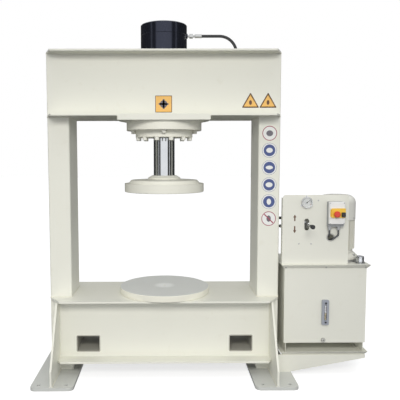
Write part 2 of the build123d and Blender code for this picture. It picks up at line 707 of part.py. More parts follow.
def mounting_plate():
    """Thick plate welded under the head; its rear corners are cut to clear the flange."""
    half, rear = MOUNTING_PLATE_WIDTH / 2, MOUNTING_PLATE_REAR_WIDTH / 2
    square = -MOUNTING_PLATE_SQUARE_END
    outline = Polyline((-half, -FRAME_FRONT_Y), (half, -FRAME_FRONT_Y), (half, square),
                       (rear, FRAME_FRONT_Y), (-rear, FRAME_FRONT_Y), (-half, square), close=True)
    plate = Pos(0, 0, MOUNT_FACE) * extrude(make_face(outline), amount=MOUNTING_PLATE_THICKNESS)
    plate = chamfer(plate.edges().filter_by(Axis.Z).group_by(Axis.Y)[0], MOUNTING_PLATE_CORNER)
    plate -= disc(BARREL_RADIUS + BARREL_HOLE_GAP, MOUNT_FACE - 1, HEAD_BOTTOM + 1)
    for place in screw_places(FLANGE_SCREW_CIRCLE, FLANGE_SCREW_COUNT, 0.0):
        plate -= disc(CAP_SCREW_RADIUS, MOUNT_FACE - 1, HEAD_BOTTOM + 1, *place)
    return plate


def lower_plate():
    """Round plate that lies on the bed, with a centre hole."""
    edge = LOWER_PLATE_EDGE
    top = BED_TOP + LOWER_PLATE_THICKNESS
    outer = LOWER_PLATE_RADIUS
    return turned(((0, BED_TOP), (outer - edge, BED_TOP), (outer, BED_TOP + edge),
                   (outer, top - edge), (outer - edge, top), (CENTRE_HOLE_RADIUS, top),
                   (CENTRE_HOLE_RADIUS, top - CENTRE_HOLE_DEPTH), (0, top - CENTRE_HOLE_DEPTH)))


def screw_places(circle, count, offset):
    """X and Y of each screw on a circle; the offset is in degrees."""
    turns = [math.radians(offset + 360.0 * i / count) for i in range(count)]
    return [(circle * math.cos(turn), circle * math.sin(turn)) for turn in turns]


def cap_screws(circle, count, offset, seat, grip):
    """Socket-head screws driven upwards, heads under the seat."""
    screws = []
    for x, y in screw_places(circle, count, offset):
        head = disc(CAP_SCREW_HEAD_RADIUS, seat - CAP_SCREW_HEAD_HEIGHT, seat)
        head = chamfer(head.edges().group_by(Axis.Z)[0], CAP_SCREW_EDGE)
        socket = extrude(RegularPolygon(CAP_SCREW_SOCKET / 2, 6, major_radius=False),
                         amount=CAP_SCREW_HEAD_HEIGHT / 2)
        screw = head - Pos(0, 0, seat - CAP_SCREW_HEAD_HEIGHT) * socket
        screws.append(Pos(x, y, 0) * (screw + disc(CAP_SCREW_RADIUS, seat, seat + grip)))
    return Compound(children=screws)


def cylinder_flange():
    """Flange welded round the barrel's lower end, drilled for both screw circles."""
    edge = GLAND_EDGE
    ring = turned(((BARREL_RADIUS, GLAND_FACE), (FLANGE_RADIUS - edge, GLAND_FACE),
                   (FLANGE_RADIUS, GLAND_FACE + edge), (FLANGE_RADIUS, MOUNT_FACE),
                   (BARREL_RADIUS, MOUNT_FACE)))
    for place in screw_places(FLANGE_SCREW_CIRCLE, FLANGE_SCREW_COUNT, 0.0):
        ring -= disc(CAP_SCREW_RADIUS, GLAND_FACE - 1, MOUNT_FACE + 1, *place)
    depth = GLAND_SCREW_GRIP - GLAND_THICKNESS
    for place in screw_places(GLAND_SCREW_CIRCLE, GLAND_SCREW_COUNT, 180.0 / GLAND_SCREW_COUNT):
        ring -= disc(CAP_SCREW_RADIUS, GLAND_FACE - 1, GLAND_FACE + depth, *place)
    return ring


def cylinder_barrel():
    """Honed tube; an oil way in its wall leads from the rod-end port to the gland."""
    tube = disc(BARREL_RADIUS, GLAND_FACE, BARREL_TOP)
    tube += bar_x(PORT_BOSS_RADIUS, BORE_RADIUS, PORT_FACE_X, 0, ROD_PORT_Z)
    tube -= disc(BORE_RADIUS, GLAND_FACE - 1, BARREL_TOP + 1)
    tube -= bar_x(PORT_RADIUS, OIL_WAY_X, PORT_FACE_X + 1, 0, ROD_PORT_Z)
    low = GLAND_FACE + GLAND_SPIGOT + OIL_WAY_RISE
    tube -= disc(OIL_WAY_RADIUS, low, ROD_PORT_Z, OIL_WAY_X)
    tube -= bar_x(OIL_WAY_RADIUS, 0, OIL_WAY_X, 0, low)
    return tube


def cylinder_end_cap():
    """Blind end cap with its spigot, port boss and drilled oil way."""
    edge, deep = END_CAP_EDGE, END_CAP_GROOVE_DEPTH
    outer, spigot = BARREL_RADIUS, BORE_RADIUS
    groove = BARREL_TOP + END_CAP_GROOVE
    cap = turned(((0, CHAMBER_TOP), (spigot - edge, CHAMBER_TOP), (spigot, CHAMBER_TOP + edge),
                  (spigot, BARREL_TOP), (outer, BARREL_TOP), (outer, groove - deep),
                  (outer - deep, groove), (outer, groove + deep),
                  (outer, CYLINDER_TOP - edge), (outer - edge, CYLINDER_TOP), (0, CYLINDER_TOP)))
    cap += bar_x(PORT_BOSS_RADIUS, BORE_RADIUS, PORT_FACE_X, 0, CAP_PORT_Z)
    way_x = BORE_RADIUS / 2
    cap -= bar_x(PORT_RADIUS, way_x, PORT_FACE_X + 1, 0, CAP_PORT_Z)
    cap -= disc(PORT_RADIUS, CHAMBER_TOP - 1, CAP_PORT_Z, way_x)
    return cap


def cylinder_gland():
    """Gland that closes the barrel and guides the rod."""
    edge = GLAND_EDGE
    bore = ROD_RADIUS + RUNNING_GAP
    spigot = BORE_RADIUS
    spigot_top = GLAND_FACE + GLAND_SPIGOT
    gland = turned(((bore + GLAND_LEAD, GLAND_BOTTOM), (GLAND_RADIUS - edge, GLAND_BOTTOM),
                    (GLAND_RADIUS, GLAND_BOTTOM + edge), (GLAND_RADIUS, GLAND_FACE),
                    (spigot, GLAND_FACE), (spigot, spigot_top - edge), (spigot - edge, spigot_top),
                    (bore, spigot_top), (bore, GLAND_BOTTOM + GLAND_LEAD)))
    for place in screw_places(GLAND_SCREW_CIRCLE, GLAND_SCREW_COUNT, 180.0 / GLAND_SCREW_COUNT):
        gland -= disc(CAP_SCREW_RADIUS, GLAND_BOTTOM - 1, GLAND_FACE + 1, *place)
    return gland


def piston():
    """Piston with two seal grooves, on the rod's neck."""
    outer = BORE_RADIUS - RUNNING_GAP
    ring = disc(outer, PISTON_BOTTOM, PISTON_TOP)
    ring -= disc(PISTON_NECK_RADIUS, PISTON_BOTTOM - 1, PISTON_TOP + 1)
    for share in SEAL_GROOVE_SHARES:
        z = PISTON_BOTTOM + share * PISTON_HEIGHT
        groove = disc(outer + 1, z - SEAL_GROOVE_WIDTH / 2, z + SEAL_GROOVE_WIDTH / 2)
        groove -= disc(outer - SEAL_GROOVE_DEPTH, z - SEAL_GROOVE_WIDTH, z + SEAL_GROOVE_WIDTH)
        ring -= groove
    return ring


def piston_rod():
    """Chromed rod: a neck for the piston, and a plain end in the pressing plate."""
    foot_z = HUB_TOP - ROD_SOCKET_DEPTH
    edge = ROD_END_EDGE
    return turned(((0, foot_z), (ROD_RADIUS - edge, foot_z), (ROD_RADIUS, foot_z + edge),
                   (ROD_RADIUS, PISTON_BOTTOM), (PISTON_NECK_RADIUS, PISTON_BOTTOM),
                   (PISTON_NECK_RADIUS, PISTON_TOP), (0, PISTON_TOP)))


def pressing_plate():
    """Round pressing plate: thick rim, bevelled crown and a hub round the rod."""
    bevel_z = PLATE_STEP_Z + PLATE_BEVEL_HEIGHT
    hub_foot = bevel_z + PLATE_CROWN
    return turned(((0, PLATE_BOTTOM), (PLATE_RADIUS - PLATE_EDGE, PLATE_BOTTOM),
                   (PLATE_RADIUS, PLATE_BOTTOM + PLATE_EDGE), (PLATE_RADIUS, PLATE_STEP_Z),
                   (PLATE_STEP_RADIUS, PLATE_STEP_Z), (PLATE_BEVEL_RADIUS, bevel_z),
                   (PLATE_HUB_RADIUS, hub_foot), (PLATE_HUB_RADIUS, HUB_TOP - PLATE_HUB_BEVEL),
                   (PLATE_HUB_TOP_RADIUS, HUB_TOP), (ROD_RADIUS, HUB_TOP),
                   (ROD_RADIUS, HUB_TOP - ROD_SOCKET_DEPTH), (0, HUB_TOP - ROD_SOCKET_DEPTH)))


def hose_fitting(x, y, z, way):
    """Hose end: stem, union nut and crimped ferrule, pointing along X."""
    stops = [0.0]
    for length in (FITTING_STEM, FITTING_NUT, FITTING_NECK, FITTING_FERRULE):
        stops.append(stops[-1] + length)
    body = disc(FITTING_STEM_RADIUS, stops[0], stops[3])
    nut = RegularPolygon(FITTING_NUT_FLATS / 2, 6, major_radius=False)
    body += Pos(0, 0, stops[1]) * extrude(nut, amount=FITTING_NUT)
    ferrule = disc(FERRULE_RADIUS, stops[3], stops[4])
    body += chamfer(ferrule.edges().filter_by(GeomType.CIRCLE), FERRULE_EDGE)
    turn = Rot(0, 90, 0) if way > 0 else Rot(0, -90, 0)
    return Pos(x, y, z) * turn * body


def hose_fittings():
    """The four hose ends: two at the cylinder, two at the valve block."""
    return Compound(children=[
        hose_fitting(PORT_FACE_X, 0, CAP_PORT_Z, 1),
        hose_fitting(PORT_FACE_X, 0, ROD_PORT_Z, 1),
        hose_fitting(BLOCK_LEFT, EXTEND_PORT_Y, EXTEND_PORT_Z, -1),
        hose_fitting(BLOCK_LEFT, 0, RETRACT_PORT_Z, -1)])


def extend_route():
    """From the cap end over into the head, through the column to the valve."""
    return ((PORT_FACE_X + FITTING_LENGTH, 0.0, CAP_PORT_Z),
            (HOSE_DROP_X, 0.0, CAP_PORT_Z),
            (HOSE_DROP_X, -HOSE_SIDESTEP, HEAD_TOP - HOSE_DROP),
            (HALF - HOSE_UPPER_LANE, EXTEND_PORT_Y, HEAD_TOP - HOSE_DROP - HOSE_ENTRY_FALL),
            (COLUMN_INNER + HOSE_LOWER_LANE, EXTEND_PORT_Y, EXTEND_PORT_Z),
            (BLOCK_LEFT - FITTING_LENGTH, EXTEND_PORT_Y, EXTEND_PORT_Z))


def retract_route():
    """From the rod end along the head, through the column to the valve."""
    return ((PORT_FACE_X + FITTING_LENGTH, 0.0, ROD_PORT_Z),
            (HALF - HOSE_UPPER_LANE, 0.0, ROD_PORT_Z),
            (COLUMN_INNER + HOSE_LOWER_LANE, 0.0, RETRACT_PORT_Z),
            (BLOCK_LEFT - FITTING_LENGTH, 0.0, RETRACT_PORT_Z))


def cord(route, radii, radius, name):
    """One hose or cable; prints its length and bends, and its volume against its section."""
    solid, length = swept(route, radii, radius)
    expected = length * math.pi * radius ** 2
    print(name, "length", round(length, 1), "radii", radii, "volume ratio", round(solid.volume / expected, 4))
    return solid


def tray_bracket():
    """Two tapered side plates welded to the right foot, tied by cross bars."""
    start = GUSSET_X + GUSSET_THICKNESS / 2
    outline = Polyline((start, FOOT_THICKNESS), (FOOT_OUTER - BRACKET_TOE_INSET, FOOT_THICKNESS),
                       (BRACKET_END_X, BRACKET_TOP - BRACKET_END_HEIGHT),
                       (BRACKET_END_X, BRACKET_TOP), (start, BRACKET_TOP), close=True)
    side = extrude(make_face(Plane.XZ * outline), amount=BRACKET_THICKNESS)
    bracket = Pos(0, -BRACKET_OUTER_Y + BRACKET_THICKNESS, 0) * side
    bracket += Pos(0, BRACKET_OUTER_Y, 0) * side
    inner = BRACKET_OUTER_Y - BRACKET_THICKNESS
    for x in (HALF + CROSS_BAR_INSET, BRACKET_END_X - CROSS_BAR_INSET):
        bracket += span(x - CROSS_BAR_WIDTH / 2, x + CROSS_BAR_WIDTH / 2, -inner, inner,
                        BRACKET_TOP - CROSS_BAR_THICKNESS, BRACKET_TOP)
    return bracket


def flared(x0, x1, half_y, z0, z1, flare):
    """A block that widens by the flare on all four sides as it rises."""
    centre = (x0 + x1) / 2
    low = Pos(centre, 0, z0) * Rectangle(x1 - x0, 2 * half_y)
    high = Pos(centre, 0, z1) * Rectangle(x1 - x0 + 2 * flare, 2 * (half_y + flare))
    return loft([low, high])


def drip_tray():
    """Shallow sheet tray with an outward-flared lip."""
    top = BRACKET_TOP + TRAY_DEPTH
    outer = flared(TRAY_LEFT, TRAY_RIGHT, TRAY_WIDTH / 2, BRACKET_TOP, top, TRAY_LIP)
    rise = TRAY_DEPTH - TRAY_SHEET
    lean = TRAY_LIP * rise / TRAY_DEPTH
    shift = TRAY_SHEET - TRAY_LIP * TRAY_SHEET / TRAY_DEPTH
    inner = flared(TRAY_LEFT + shift, TRAY_RIGHT - shift, TRAY_WIDTH / 2 - shift,
                   BRACKET_TOP + TRAY_SHEET, top, lean)
    return outer - inner


def tank_body():
    """Sheet tank with two folded feet under its floor."""
    t = TANK_SHEET
    y = TANK_WIDTH / 2
    tank = span(TANK_LEFT, TANK_RIGHT, -y, y, TANK_BOTTOM, TANK_TOP)
    tank -= span(TANK_LEFT + t, TANK_RIGHT - t, -y + t, y - t, TANK_BOTTOM + t, TANK_TOP + 1)
    left, right = TANK_LEFT + TANK_FOOT_INSET, TANK_RIGHT - TANK_FOOT_INSET
    tank += span(left, left + t, -y, y, TANK_BASE, TANK_BOTTOM)
    tank += span(right - t, right, -y, y, TANK_BASE, TANK_BOTTOM)
    tank += span(left, left + TANK_FOOT_RETURN, -y, y, TANK_BASE, TANK_BASE + t)
    tank += span(right - TANK_FOOT_RETURN, right, -y, y, TANK_BASE, TANK_BASE + t)
    tank -= bar_y(DRAIN_SHANK_RADIUS, -y - 1, -y + t + 1, DRAIN_X, DRAIN_Z)
    return tank


def tank_lid():
    """Lid pressed from sheet, its lip flared out above the tank walls."""
    t = TANK_SHEET
    gap = LID_FIT_GAP
    low = LID_TOP - LID_LIP_HEIGHT
    lean = LID_FLARE * (LID_LIP_HEIGHT - t) / LID_LIP_HEIGHT
    outer = flared(TANK_LEFT - gap - t, TANK_RIGHT + gap + t, TANK_WIDTH / 2 + gap + t,
                   low, LID_TOP, LID_FLARE)
    inner = flared(TANK_LEFT - gap, TANK_RIGHT + gap, TANK_WIDTH / 2 + gap,
                   low, LID_TOP - t, lean)
    lid = outer - inner
    lid -= disc(BELL_TUBE_RADIUS + BELL_HOLE_GAP, low, LID_TOP + 1, MOTOR_X)
    lid -= disc(BREATHER_SPIGOT_RADIUS + 1, low, LID_TOP + 1, BREATHER_X, BREATHER_Y)
    for x in (PRESSURE_PIPE_X, RETURN_PIPE_X):
        lid -= disc(PIPE_RADIUS + PIPE_HOLE_GAP, low, LID_TOP + 1, x)
    return lid


def level_gauge():
    """Sight-level body with a long window recess and two screw heads."""
    back = TANK_FRONT
    front = back - LEVEL_DEPTH
    body = rounded_block(TANK_MIDDLE - LEVEL_WIDTH / 2, TANK_MIDDLE + LEVEL_WIDTH / 2, front, back,
                         LEVEL_Z - LEVEL_HEIGHT / 2, LEVEL_Z + LEVEL_HEIGHT / 2, LEVEL_CORNER)
    window = Plane.XZ * Pos(TANK_MIDDLE, LEVEL_Z) * RectangleRounded(
        LEVEL_WINDOW_WIDTH, LEVEL_WINDOW_HEIGHT, LEVEL_WINDOW_RADIUS)
    body -= Pos(0, front - 1, 0) * extrude(window, amount=-LEVEL_WINDOW_DEPTH - 1)
    for side in (-1, 1):
        z = LEVEL_Z + side * LEVEL_SCREW_SPACING / 2
        body += bar_y(LEVEL_SCREW_RADIUS, front - LEVEL_SCREW_HEAD, front, TANK_MIDDLE, z)
    return body


def drain_plug():
    """Plug with a round head, through the tank's front wall."""
    z = DRAIN_Z
    plug = bar_y(DRAIN_RADIUS, TANK_FRONT - DRAIN_HEAD, TANK_FRONT, DRAIN_X, z)
    plug = chamfer(plug.faces().sort_by(Axis.Y)[0].edges(), DRAIN_EDGE)
    plug += bar_y(DRAIN_SHANK_RADIUS, TANK_FRONT, TANK_FRONT + DRAIN_SHANK, DRAIN_X, z)
    socket = Plane.XZ * Pos(DRAIN_X, z) * RegularPolygon(DRAIN_SOCKET / 2, 6, major_radius=False)
    return plug - Pos(0, TANK_FRONT - DRAIN_HEAD - 1, 0) * extrude(socket, amount=-DRAIN_SOCKET_DEPTH - 1)


def breather_cap():
    """Filler and breather cap, turned off by a quarter turn."""
    r = BREATHER_RADIUS
    seat = LID_TOP + LID_FIT_GAP
    top = LID_TOP + BREATHER_HEIGHT
    low = LID_TOP - BREATHER_SPIGOT
    skirt, band = r - BREATHER_SKIRT_INSET, r - BREATHER_BAND_INSET
    crown = top - BREATHER_CROWN_HEIGHT
    return turned(((0, low), (BREATHER_SPIGOT_RADIUS, low), (BREATHER_SPIGOT_RADIUS, seat),
                   (skirt, seat), (skirt, seat + BREATHER_SKIRT_HEIGHT),
                   (r, seat + BREATHER_SHOULDER_HEIGHT), (r, crown - BREATHER_BAND_HEIGHT),
                   (band, crown - BREATHER_BAND_HEIGHT), (band, crown), (r, crown),
                   (r, top - BREATHER_CROWN_EDGE), (r - BREATHER_CROWN_ROUND, top), (0, top)),
                  BREATHER_X, BREATHER_Y)


def instrument_panel():
    """Folded panel: rounded top corners, side returns, a foot and the valve shelf."""
    x0, x1 = PANEL_X, PANEL_X + PANEL_WIDTH
    face = rounded_block(x0, x1, PANEL_Y, PANEL_BACK, LID_TOP, PANEL_TOP, PANEL_CORNER)
    for x in ((x0, x0 + PANEL_CORNER), (x1 - PANEL_CORNER, x1)):
        face += span(*x, PANEL_Y, PANEL_BACK, LID_TOP, LID_TOP + PANEL_CORNER)
    back = PANEL_BACK + PANEL_RETURN
    for x in ((x0, x0 + PANEL_SHEET), (x1 - PANEL_SHEET, x1)):
        face += span(*x, PANEL_BACK, back, LID_TOP, PANEL_TOP - PANEL_CORNER)
    face += span(x0, x1, PANEL_BACK, back, LID_TOP, LID_TOP + PANEL_SHEET)
    shelf_x = (VALVE_X - SHELF_WIDTH / 2, VALVE_X + SHELF_WIDTH / 2)
    face += span(*shelf_x, PANEL_BACK, PANEL_BACK + SHELF_THICKNESS,
                 BLOCK_Z - SHELF_DROP, BLOCK_Z)
    face += span(*shelf_x, PANEL_BACK, BLOCK_BACK_Y, BLOCK_Z - SHELF_THICKNESS, BLOCK_Z)
    slot = Plane.XZ * Pos(VALVE_X, LEVER_Z - SLOT_DROP) * Rot(0, 0, 90) * SlotOverall(SLOT_LENGTH, SLOT_WIDTH)
    face -= Pos(0, PANEL_Y - 1, 0) * extrude(slot, amount=-PANEL_SHEET - 2)
    face -= bar_y(GAUGE_BODY_RADIUS + GAUGE_HOLE_GAP, PANEL_Y - 1, PANEL_BACK + 1, GAUGE_X, GAUGE_Z)
    face -= bar_y(CABLE_HOLE_RADIUS, PANEL_Y - 1, PANEL_BACK + 1, CABLE_HOLE_X, CABLE_HOLE_Z)
    for x in (PRESSURE_PIPE_X, RETURN_PIPE_X):
        face -= disc(PIPE_RADIUS + PIPE_HOLE_GAP, BLOCK_Z - SHELF_THICKNESS - 1, BLOCK_Z + 1, x)
    return face


def gauge_case():
    """Gauge case with a three-lug front flange and an open dial recess."""
    front = PANEL_Y - GAUGE_DEPTH
    case = bar_y(GAUGE_RADIUS, front, PANEL_Y, GAUGE_X, GAUGE_Z)
    case = chamfer(case.faces().sort_by(Axis.Y)[0].edges(), GAUGE_EDGE)
    for turn in GAUGE_LUG_ANGLES:
        x = GAUGE_X + GAUGE_LUG_CIRCLE * math.cos(math.radians(turn))
        z = GAUGE_Z + GAUGE_LUG_CIRCLE * math.sin(math.radians(turn))
        case += bar_y(GAUGE_LUG_RADIUS, PANEL_Y - GAUGE_LUG_THICKNESS, PANEL_Y, x, z)
    case += bar_y(GAUGE_BODY_RADIUS, PANEL_Y, PANEL_Y + GAUGE_BODY_LENGTH, GAUGE_X, GAUGE_Z)
    case -= bar_y(GAUGE_RADIUS - GAUGE_WALL, front - 1, PANEL_Y - GAUGE_DEPTH / 2, GAUGE_X, GAUGE_Z)
    case -= bar_y(NEEDLE_SPINDLE_RADIUS + RUNNING_GAP, front, PANEL_Y, GAUGE_X, GAUGE_Z)
    return case


def gauge_dial():
    """Dial plate at the bottom of the recess."""
    back = PANEL_Y - GAUGE_DEPTH / 2
    dial = bar_y(GAUGE_RADIUS - GAUGE_WALL, back - GAUGE_DIAL_THICKNESS, back, GAUGE_X, GAUGE_Z)
    hole = NEEDLE_SPINDLE_RADIUS + GAUGE_DIAL_HOLE_GAP
    return dial - bar_y(hole, back - GAUGE_DIAL_THICKNESS - 1, back + 1, GAUGE_X, GAUGE_Z)


def gauge_glass():
    """Flat glass just inside the bezel."""
    front = PANEL_Y - GAUGE_DEPTH + GAUGE_GLASS_RECESS
    return bar_y(GAUGE_RADIUS - GAUGE_WALL, front, front + GAUGE_GLASS_THICKNESS, GAUGE_X, GAUGE_Z)


def gauge_needle():
    """Tapered pointer with its boss and spindle."""
    y = PANEL_Y - GAUGE_DEPTH / 2 - NEEDLE_STANDOFF
    half, tip = NEEDLE_WIDTH / 2, NEEDLE_TIP_WIDTH / 2
    pointer = make_face(Polyline((-NEEDLE_TAIL, half), (-NEEDLE_TAIL, -half), (0, -half),
                                 (NEEDLE_LENGTH, -tip), (NEEDLE_LENGTH, tip), (0, half), close=True))
    face = Plane.XZ * Rot(0, 0, NEEDLE_ANGLE) * pointer
    needle = Pos(GAUGE_X, y, GAUGE_Z) * extrude(face, amount=-NEEDLE_THICKNESS)
    needle += bar_y(NEEDLE_BOSS_RADIUS, y - NEEDLE_BOSS_FRONT, y + NEEDLE_BOSS_BACK, GAUGE_X, GAUGE_Z)
    return needle + bar_y(NEEDLE_SPINDLE_RADIUS, y, PANEL_Y - NEEDLE_SPINDLE_END, GAUGE_X, GAUGE_Z)


def switch_base():
    """Back box of the motor switch, with a sloping chin over the cable glands."""
    x0, x1 = SWITCH_X, SWITCH_X + SWITCH_WIDTH
    z0, z1 = SWITCH_Z, SWITCH_Z + SWITCH_HEIGHT
    w = SWITCH_WALL
    base = rounded_block(x0, x1, SWITCH_FRONT, PANEL_Y, z0, z1, SWITCH_CORNER)
    chin = Polyline((SWITCH_FRONT, z0), (SWITCH_FRONT, z0 + SWITCH_CHIN),
                    (SWITCH_FRONT + SWITCH_CHIN / 2, z0), close=True)
    base -= extrude(make_face(Plane.YZ * chin), amount=2 * x1)
    base -= span(x0 + w, x1 - w, SWITCH_FRONT - 1, PANEL_Y - w, z0 + SWITCH_CHIN + w, z1 - w)
    for place in SWITCH_GLAND_PLACES:
        base -= disc(CABLE_RADIUS + CABLE_BASE_GAP, z0 - 1, z0 + SWITCH_CHIN + w + 1, x0 + place, GLAND_Y)
    return base


def switch_cover():
    """Front cover with rounded edges and two ears for the flap's hinge pin."""
    x0, x1 = SWITCH_X, SWITCH_X + SWITCH_WIDTH
    z0, z1 = SWITCH_Z + SWITCH_CHIN, SWITCH_Z + SWITCH_HEIGHT
    cover = rounded_block(x0, x1, COVER_FRONT, SWITCH_FRONT, z0, z1, SWITCH_CORNER)
    cover = fillet(cover.faces().sort_by(Axis.Y)[0].edges(), COVER_EDGE)
    w = SWITCH_WALL
    cover -= span(x0 + w, x1 - w, COVER_FRONT + w, SWITCH_FRONT + 1, z0 + w, z1 - w)
    groove_z = FLAP_BOTTOM + FLAP_HEIGHT + COVER_GROOVE_RISE
    cover -= span(x0 - 1, x1 + 1, COVER_FRONT - 1, COVER_FRONT + COVER_GROOVE_DEPTH,
                  groove_z, groove_z + COVER_GROOVE_WIDTH)
    for z in (FLAP_BOTTOM, FLAP_BOTTOM + FLAP_HEIGHT - HINGE_EAR_LENGTH):
        ear = span(HINGE_X - KNUCKLE_RADIUS, FLAP_LEFT - FLAP_GAP,
                   HINGE_Y, COVER_FRONT + w / 2, z, z + HINGE_EAR_LENGTH)
        ear += disc(KNUCKLE_RADIUS - FLAP_GAP, z, z + HINGE_EAR_LENGTH, HINGE_X, HINGE_Y)
        cover += ear - disc(HINGE_PIN_RADIUS + RUNNING_GAP, z - 1, z + HINGE_EAR_LENGTH + 1, HINGE_X, HINGE_Y)
    return cover


def stop_flap():
    """Hinged yellow flap that carries the stop button."""
    x0, x1 = FLAP_LEFT, FLAP_LEFT + FLAP_WIDTH
    z0, z1 = FLAP_BOTTOM, FLAP_BOTTOM + FLAP_HEIGHT
    w = FLAP_WALL
    flap = rounded_block(x0, x1, FLAP_FRONT, FLAP_BACK, z0, z1, FLAP_CORNER)
    flap = fillet(flap.faces().sort_by(Axis.Y)[0].edges(), FLAP_EDGE)
    flap -= span(x0 + w, x1 - w, FLAP_FRONT + w, FLAP_BACK + 1, z0 + w, z1 - w)
    low, high = z0 + HINGE_EAR_LENGTH + FLAP_GAP, z1 - HINGE_EAR_LENGTH - FLAP_GAP
    flap += disc(KNUCKLE_RADIUS, low, high, HINGE_X, HINGE_Y)
    web = HINGE_WEB_THICKNESS / 2
    flap += span(HINGE_X, x0 + w, HINGE_Y - web, HINGE_Y + web, low, high)
    flap += disc(HINGE_PIN_RADIUS, z0, z1, HINGE_X, HINGE_Y)
    flap -= bar_y(BUTTON_STEM_RADIUS + RUNNING_GAP, FLAP_FRONT - 1, FLAP_FRONT + w + 1, *button_place())
    return flap


def button_place():
    """X and Z of the stop button."""
    return FLAP_LEFT + BUTTON_OFFSET_X, FLAP_BOTTOM + BUTTON_OFFSET_Z


def stop_button():
    """Mushroom button on its stem."""
    x, z = button_place()
    front = FLAP_FRONT - BUTTON_STANDOFF - BUTTON_CAP
    cap = bar_y(BUTTON_RADIUS, front, front + BUTTON_CAP, x, z)
    cap = fillet(cap.faces().sort_by(Axis.Y)[0].edges(), BUTTON_DOME)
    cap = chamfer(cap.faces().sort_by(Axis.Y)[-1].edges(), BUTTON_EDGE)
    stem_end = FLAP_BACK - BUTTON_TRAVEL - 1
    return cap + bar_y(BUTTON_STEM_RADIUS, front + BUTTON_CAP, stem_end, x, z)


def flap_latch():
    """Black thumb catch at the flap's free edge."""
    x1 = FLAP_LEFT + FLAP_WIDTH - LATCH_INSET
    z = FLAP_BOTTOM + BUTTON_OFFSET_Z - LATCH_DROP
    latch = rounded_block(x1 - LATCH_WIDTH, x1, FLAP_FRONT - LATCH_DEPTH, FLAP_FRONT,
                          z - LATCH_HEIGHT / 2, z + LATCH_HEIGHT / 2, LATCH_CORNER)
    return chamfer(latch.faces().sort_by(Axis.Y)[0].edges(), LATCH_EDGE)


def cable_gland():
    """Gland with its hexagon at the top and its dome nut hanging down from the origin."""
    nut = RegularPolygon(GLAND_NUT_FLATS / 2, 6, major_radius=False)
    body = Pos(0, 0, -GLAND_NUT_LENGTH) * extrude(nut, amount=GLAND_NUT_LENGTH)
    low = -GLAND_NUT_LENGTH - GLAND_DOME_LENGTH
    dome = disc(GLAND_DOME_RADIUS, low, -GLAND_NUT_LENGTH)
    body += fillet(dome.edges().group_by(Axis.Z)[0], GLAND_DOME_EDGE)
    return body - disc(CABLE_RADIUS, low - 1, 1)


def cable_glands():
    """Two glands under the switch and two on the motor's terminal box."""
    glands = [Pos(SWITCH_X + place, GLAND_Y, SWITCH_Z) * cable_gland() for place in SWITCH_GLAND_PLACES]
    x = TERMINAL_BOX_X + TERMINAL_GLAND_INSET
    for rise in TERMINAL_GLAND_RISES:
        z = TERMINAL_BOX_Z + rise
        glands.append(Pos(x, -TERMINAL_BOX_WIDTH / 2, z) * Rot(-90, 0, 0) * cable_gland())
    return Compound(children=glands)


def motor_cable_route():
    """From the left gland straight down and through the panel to the terminal box."""
    gland_x, x = SWITCH_X + SWITCH_GLAND_PLACES[0], TERMINAL_BOX_X + TERMINAL_GLAND_INSET
    z = TERMINAL_BOX_Z + TERMINAL_GLAND_RISES[0]
    seat = -TERMINAL_BOX_WIDTH / 2
    return ((gland_x, GLAND_Y, SWITCH_Z), (gland_x, GLAND_Y, z), (gland_x, PANEL_Y + CABLE_ENTRY, z),
            (x, seat - CABLE_LEVEL_RUN, z), (x, seat, z))


def supply_cable_route():
    """From the right gland in a short slant, then through the same hole."""
    gland_x, x = SWITCH_X + SWITCH_GLAND_PLACES[1], TERMINAL_BOX_X + TERMINAL_GLAND_INSET
    z = TERMINAL_BOX_Z + TERMINAL_GLAND_RISES[1]
    seat = -TERMINAL_BOX_WIDTH / 2
    through = CABLE_HOLE_X + SUPPLY_STEP
    return ((gland_x, GLAND_Y, SWITCH_Z), (gland_x, GLAND_Y, SWITCH_Z - SUPPLY_DROP),
            (through, GLAND_Y, CABLE_HOLE_Z - SUPPLY_STEP), (through, PANEL_Y + CABLE_ENTRY, z),
            (x, seat - CABLE_LEVEL_RUN, z), (x, seat, z))


def cords():
    """Every hose and cable: name, route, bend radii and its own radius."""
    return (("hose_extend", extend_route(), EXTEND_BENDS, HOSE_RADIUS),
            ("hose_retract", retract_route(), RETRACT_BENDS, HOSE_RADIUS),
            ("motor_cable", motor_cable_route(), MOTOR_CABLE_BENDS, CABLE_RADIUS),
            ("supply_cable", supply_cable_route(), SUPPLY_CABLE_BENDS, CABLE_RADIUS))


